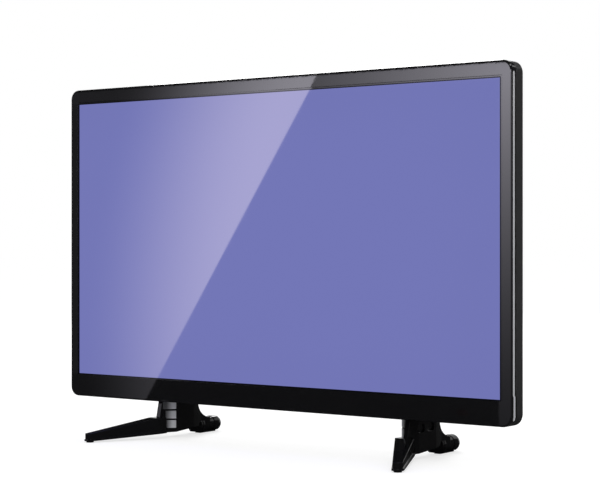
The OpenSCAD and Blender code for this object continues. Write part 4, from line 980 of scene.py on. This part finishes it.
class TELEVISION_OT_stage(bpy.types.Operator):
    """White floor, soft lamps, the window mirrored by the front, and the camera"""

    bl_idname = "television.stage"
    bl_label = "Stage"

    def execute(self, context):
        scene = context.scene
        scene.view_settings.view_transform = "Standard"
        stage = scene.television_stage
        self.camera(scene, stage)
        self.world(scene, stage)
        self.floor()
        self.window(stage)
        self.dark_cards()
        self.lamp("key_lamp", KEY_LAMP, KEY_LAMP_SIZE, stage.key_power)
        self.lamp("rear_lamp", REAR_LAMP, REAR_LAMP_SIZE, stage.fill_power)
        return {"FINISHED"}

    def camera(self, scene, stage):
        """Level camera with its horizon shifted upwards."""
        data = bpy.data.cameras.new("camera")
        data.sensor_fit = "HORIZONTAL"
        data.sensor_width = SENSOR_WIDTH
        data.lens = stage.lens
        data.shift_y = -stage.horizon
        camera = bpy.data.objects.new("camera", data)
        camera.location = stage.camera_place
        camera.rotation_euler = (math.radians(90), 0, stage.camera_turn)
        scene.collection.objects.link(camera)
        scene.camera = camera

    def world(self, scene, stage):
        """White where it is seen, soft ambient light elsewhere."""
        world = bpy.data.worlds.new("white studio")
        world.use_nodes = True
        world.node_tree.nodes.clear()
        nodes = Nodes(world.node_tree)
        seen = nodes.feed(nodes.node("Background"), color=grey(1))
        soft = nodes.feed(nodes.node("Background"), color=grey(1), strength=stage.ambient)
        nodes.show(seen, soft, nodes.node("OutputWorld").inputs["Surface"])
        scene.world = world

    def sheet(self, name, corners, finish):
        """A flat sheet of the stage."""
        shape = bmesh.new()
        shape.faces.new([shape.verts.new(c) for c in corners])
        sheet = new_object(name, shape, finish)
        return sheet

    def card(self, name, corners, finish):
        """A sheet that only mirror-like surfaces see."""
        card = self.sheet(name, corners, finish)
        for ray in ("camera", "diffuse", "transmission", "volume_scatter", "shadow"):
            setattr(card, "visible_" + ray, False)

    def floor(self):
        """Pale floor that takes the set's shadow and is white otherwise."""
        finish = Finish("white floor")
        paper = finish.feed(finish.node("BsdfDiffuse"), color=grey(FLOOR_PAPER))
        glow = finish.feed(finish.node("Emission"), strength=FLOOR_GLOW)
        seen = finish.node("AddShader")
        for part, socket in zip((paper, glow), seen.inputs):
            finish.put(part.outputs[0], socket)
        pale = finish.feed(finish.node("BsdfDiffuse"), color=grey(FLOOR_PALE))
        finish.show(seen, pale, finish.surface)
        corners = level_sheet(-FLOOR_REACH, FLOOR_REACH, -FLOOR_REACH, FLOOR_REACH, 0)
        self.sheet("floor", corners, finish.material)

    def window(self, stage):
        """Dark wall and table edge with a bright slanted window.

        It is laid out on the front: x and z are where the camera sees each point of the cards mirrored.
        """
        finish = Finish("window card")
        eye = Vector(stage.camera_place)
        share = finish.math("DIVIDE", finish.minus(FRONT_Y, finish.axis("Y")), FRONT_Y - eye.y)
        x, z = (finish.math("DIVIDE", finish.plus(finish.axis(axis), finish.times(share, place)),
                            finish.plus(share, 1.0)) for axis, place in (("X", eye.x), ("Z", eye.z)))
        above, below = finish.over(z, PICTURE_TOP), finish.under(z, PICTURE_FOOT)
        pane_side = self.slanted_edge(finish, x, z, finish.larger(above, below))
        pane = finish.times(pane_side, self.pane(finish, x, z, above))
        glow = finish.times(finish.minus(1.0, pane_side), self.corner_glow(finish, x, z, above))
        on_front = finish.times(finish.under(z, FRONT_TOP), finish.over(z, FRONT_FOOT))
        level = finish.times(finish.larger(pane, glow), on_front)
        light = finish.feed(finish.node("Emission"), color=WINDOW_COLOUR,
                            strength=finish.times(level, stage.window_light))
        finish.put(light.outputs[0], finish.surface)
        wall = [(x, CARD_FRONT, z) for x, z in block(CARD_LEFT, CARD_RIGHT, TABLE_Z, WINDOW_TOP)]
        self.card("window_card", wall, finish.material)
        edge = level_sheet(CARD_LEFT, CARD_RIGHT, CARD_FRONT, TABLE_FRONT, TABLE_Z)
        self.card("table_edge_card", edge, finish.material)

    def slanted_edge(self, finish, x, z, on_frame):
        """1 on the window's side of its slanted edge and 0 on the other."""
        lean = (EDGE_TOP.x - EDGE_FOOT.x) / (EDGE_TOP.y - EDGE_FOOT.y)
        edge = finish.plus(finish.times(z, lean), EDGE_TOP.x - EDGE_TOP.y * lean)
        edge = finish.plus(edge, finish.times(on_frame, EDGE_ON_FRAME))
        return finish.spread(finish.minus(edge, x), 0.0, 1.0, -EDGE_BLUR, EDGE_BLUR)

    def pane(self, finish, x, z, above):
        """Light of the window: fading to the left along a bent line, and weak below the picture."""
        bend = finish.times(finish.plus(finish.times(z, PANE_BEND[0]), PANE_BEND[1]), z)
        past_bend = finish.minus(x, bend)
        fade = finish.spread(past_bend, **PICTURE_FADE)
        frame_fade = finish.spread(past_bend, **FRAME_FADE)
        fade = finish.plus(fade, finish.times(above, finish.minus(frame_fade, fade)))
        return finish.times(fade, finish.spread(z, **CHIN_FADE))

    def corner_glow(self, finish, x, z, above):
        """Soft light on the frame round its upper right corner, and none on the picture."""
        dx = finish.times(finish.math("MINIMUM", finish.minus(x, GLOW_MIDDLE.x), 0.0), GLOW_ALONG)
        dz = finish.minus(z, GLOW_MIDDLE.y)
        far = finish.math("SQRT", finish.plus(finish.times(dx, dx), finish.times(dz, dz)))
        loss = finish.times(finish.plus(finish.times(far, GLOW_LOSS[0]), GLOW_LOSS[1]), far)
        glow = finish.times(finish.math("EXPONENT", loss), GLOW_LEVEL)
        beside = finish.times(finish.over(x, GLOW_PICTURE_END), finish.spread(x, **GLOW_BESIDE))
        beside = finish.larger(beside, finish.spread(x, **GLOW_ROUND_EDGE))
        return finish.times(glow, finish.larger(beside, above))

    def dark_cards(self):
        """Dark table top, right wall and ceiling, and a grey left wall, for gloss to mirror."""
        dark = Finish("dark card", base_color=grey(CARD_DARK), roughness=0.9).material
        lit = Finish("grey card", base_color=grey(0), emission_color=grey(1),
                     emission_strength=LEFT_WALL_GLOW)
        self.card("table_card", level_sheet(CARD_LEFT, CARD_RIGHT, TABLE_FRONT, TABLE_BACK, TABLE_Z), dark)
        for name, x, finish in (("left_card", CARD_LEFT, lit.material), ("right_card", CARD_RIGHT, dark)):
            self.card(name, [(x, y, z) for y, z in block(CARD_FRONT, WALL_BACK, 0, WALL_TOP)], finish)
        self.card("top_card", level_sheet(CEILING_LEFT, CARD_RIGHT, CARD_FRONT, WALL_BACK, CEILING_Z), dark)

    def lamp(self, name, place, size, power):
        """Square soft lamp, aimed at the set."""
        data = bpy.data.lights.new(name, "AREA")
        data.shape = "SQUARE"
        data.size = size
        data.energy = power
        lamp = bpy.data.objects.new(name, data)
        lamp.location = place
        lamp.rotation_euler = (Vector(LAMP_AIM) - Vector(place)).to_track_quat("-Z", "Y").to_euler()
        bpy.context.scene.collection.objects.link(lamp)


# Add-on

STEPS = (
    TELEVISION_OT_stage, TELEVISION_OT_screen, TELEVISION_OT_bezel, TELEVISION_OT_cover, TELEVISION_OT_legs,
    TELEVISION_OT_screws, TELEVISION_OT_keys, TELEVISION_OT_sockets, TELEVISION_OT_inside,
)


class TELEVISION_PT_build(bpy.types.Panel):
    """Pieces of the television and their sizes and colours"""

    bl_idname = "TELEVISION_PT_build"
    bl_label = "Television"
    bl_space_type = "VIEW_3D"
    bl_region_type = "UI"
    bl_category = "Television"

    def draw(self, context):
        for step in STEPS:
            self.layout.operator(step.bl_idname)
        for name in GROUPS:
            group = getattr(context.scene, name)
            for field in group.bl_rna.properties.keys():
                if field not in ("rna_type", "name"):
                    self.layout.prop(group, field)


CLASSES = (*GROUPS.values(), *STEPS, TELEVISION_PT_build)


def register():
    for cls in CLASSES:
        bpy.utils.register_class(cls)
    for name, group in GROUPS.items():
        setattr(bpy.types.Scene, name, PointerProperty(type=group))


def unregister():
    for name in GROUPS:
        delattr(bpy.types.Scene, name)
    for cls in reversed(CLASSES):
        bpy.utils.unregister_class(cls)


def main():
    register()
    for step in STEPS:
        family, action = step.bl_idname.split(".")
        getattr(getattr(bpy.ops, family), action)()


if __name__ == "__main__":
    main()
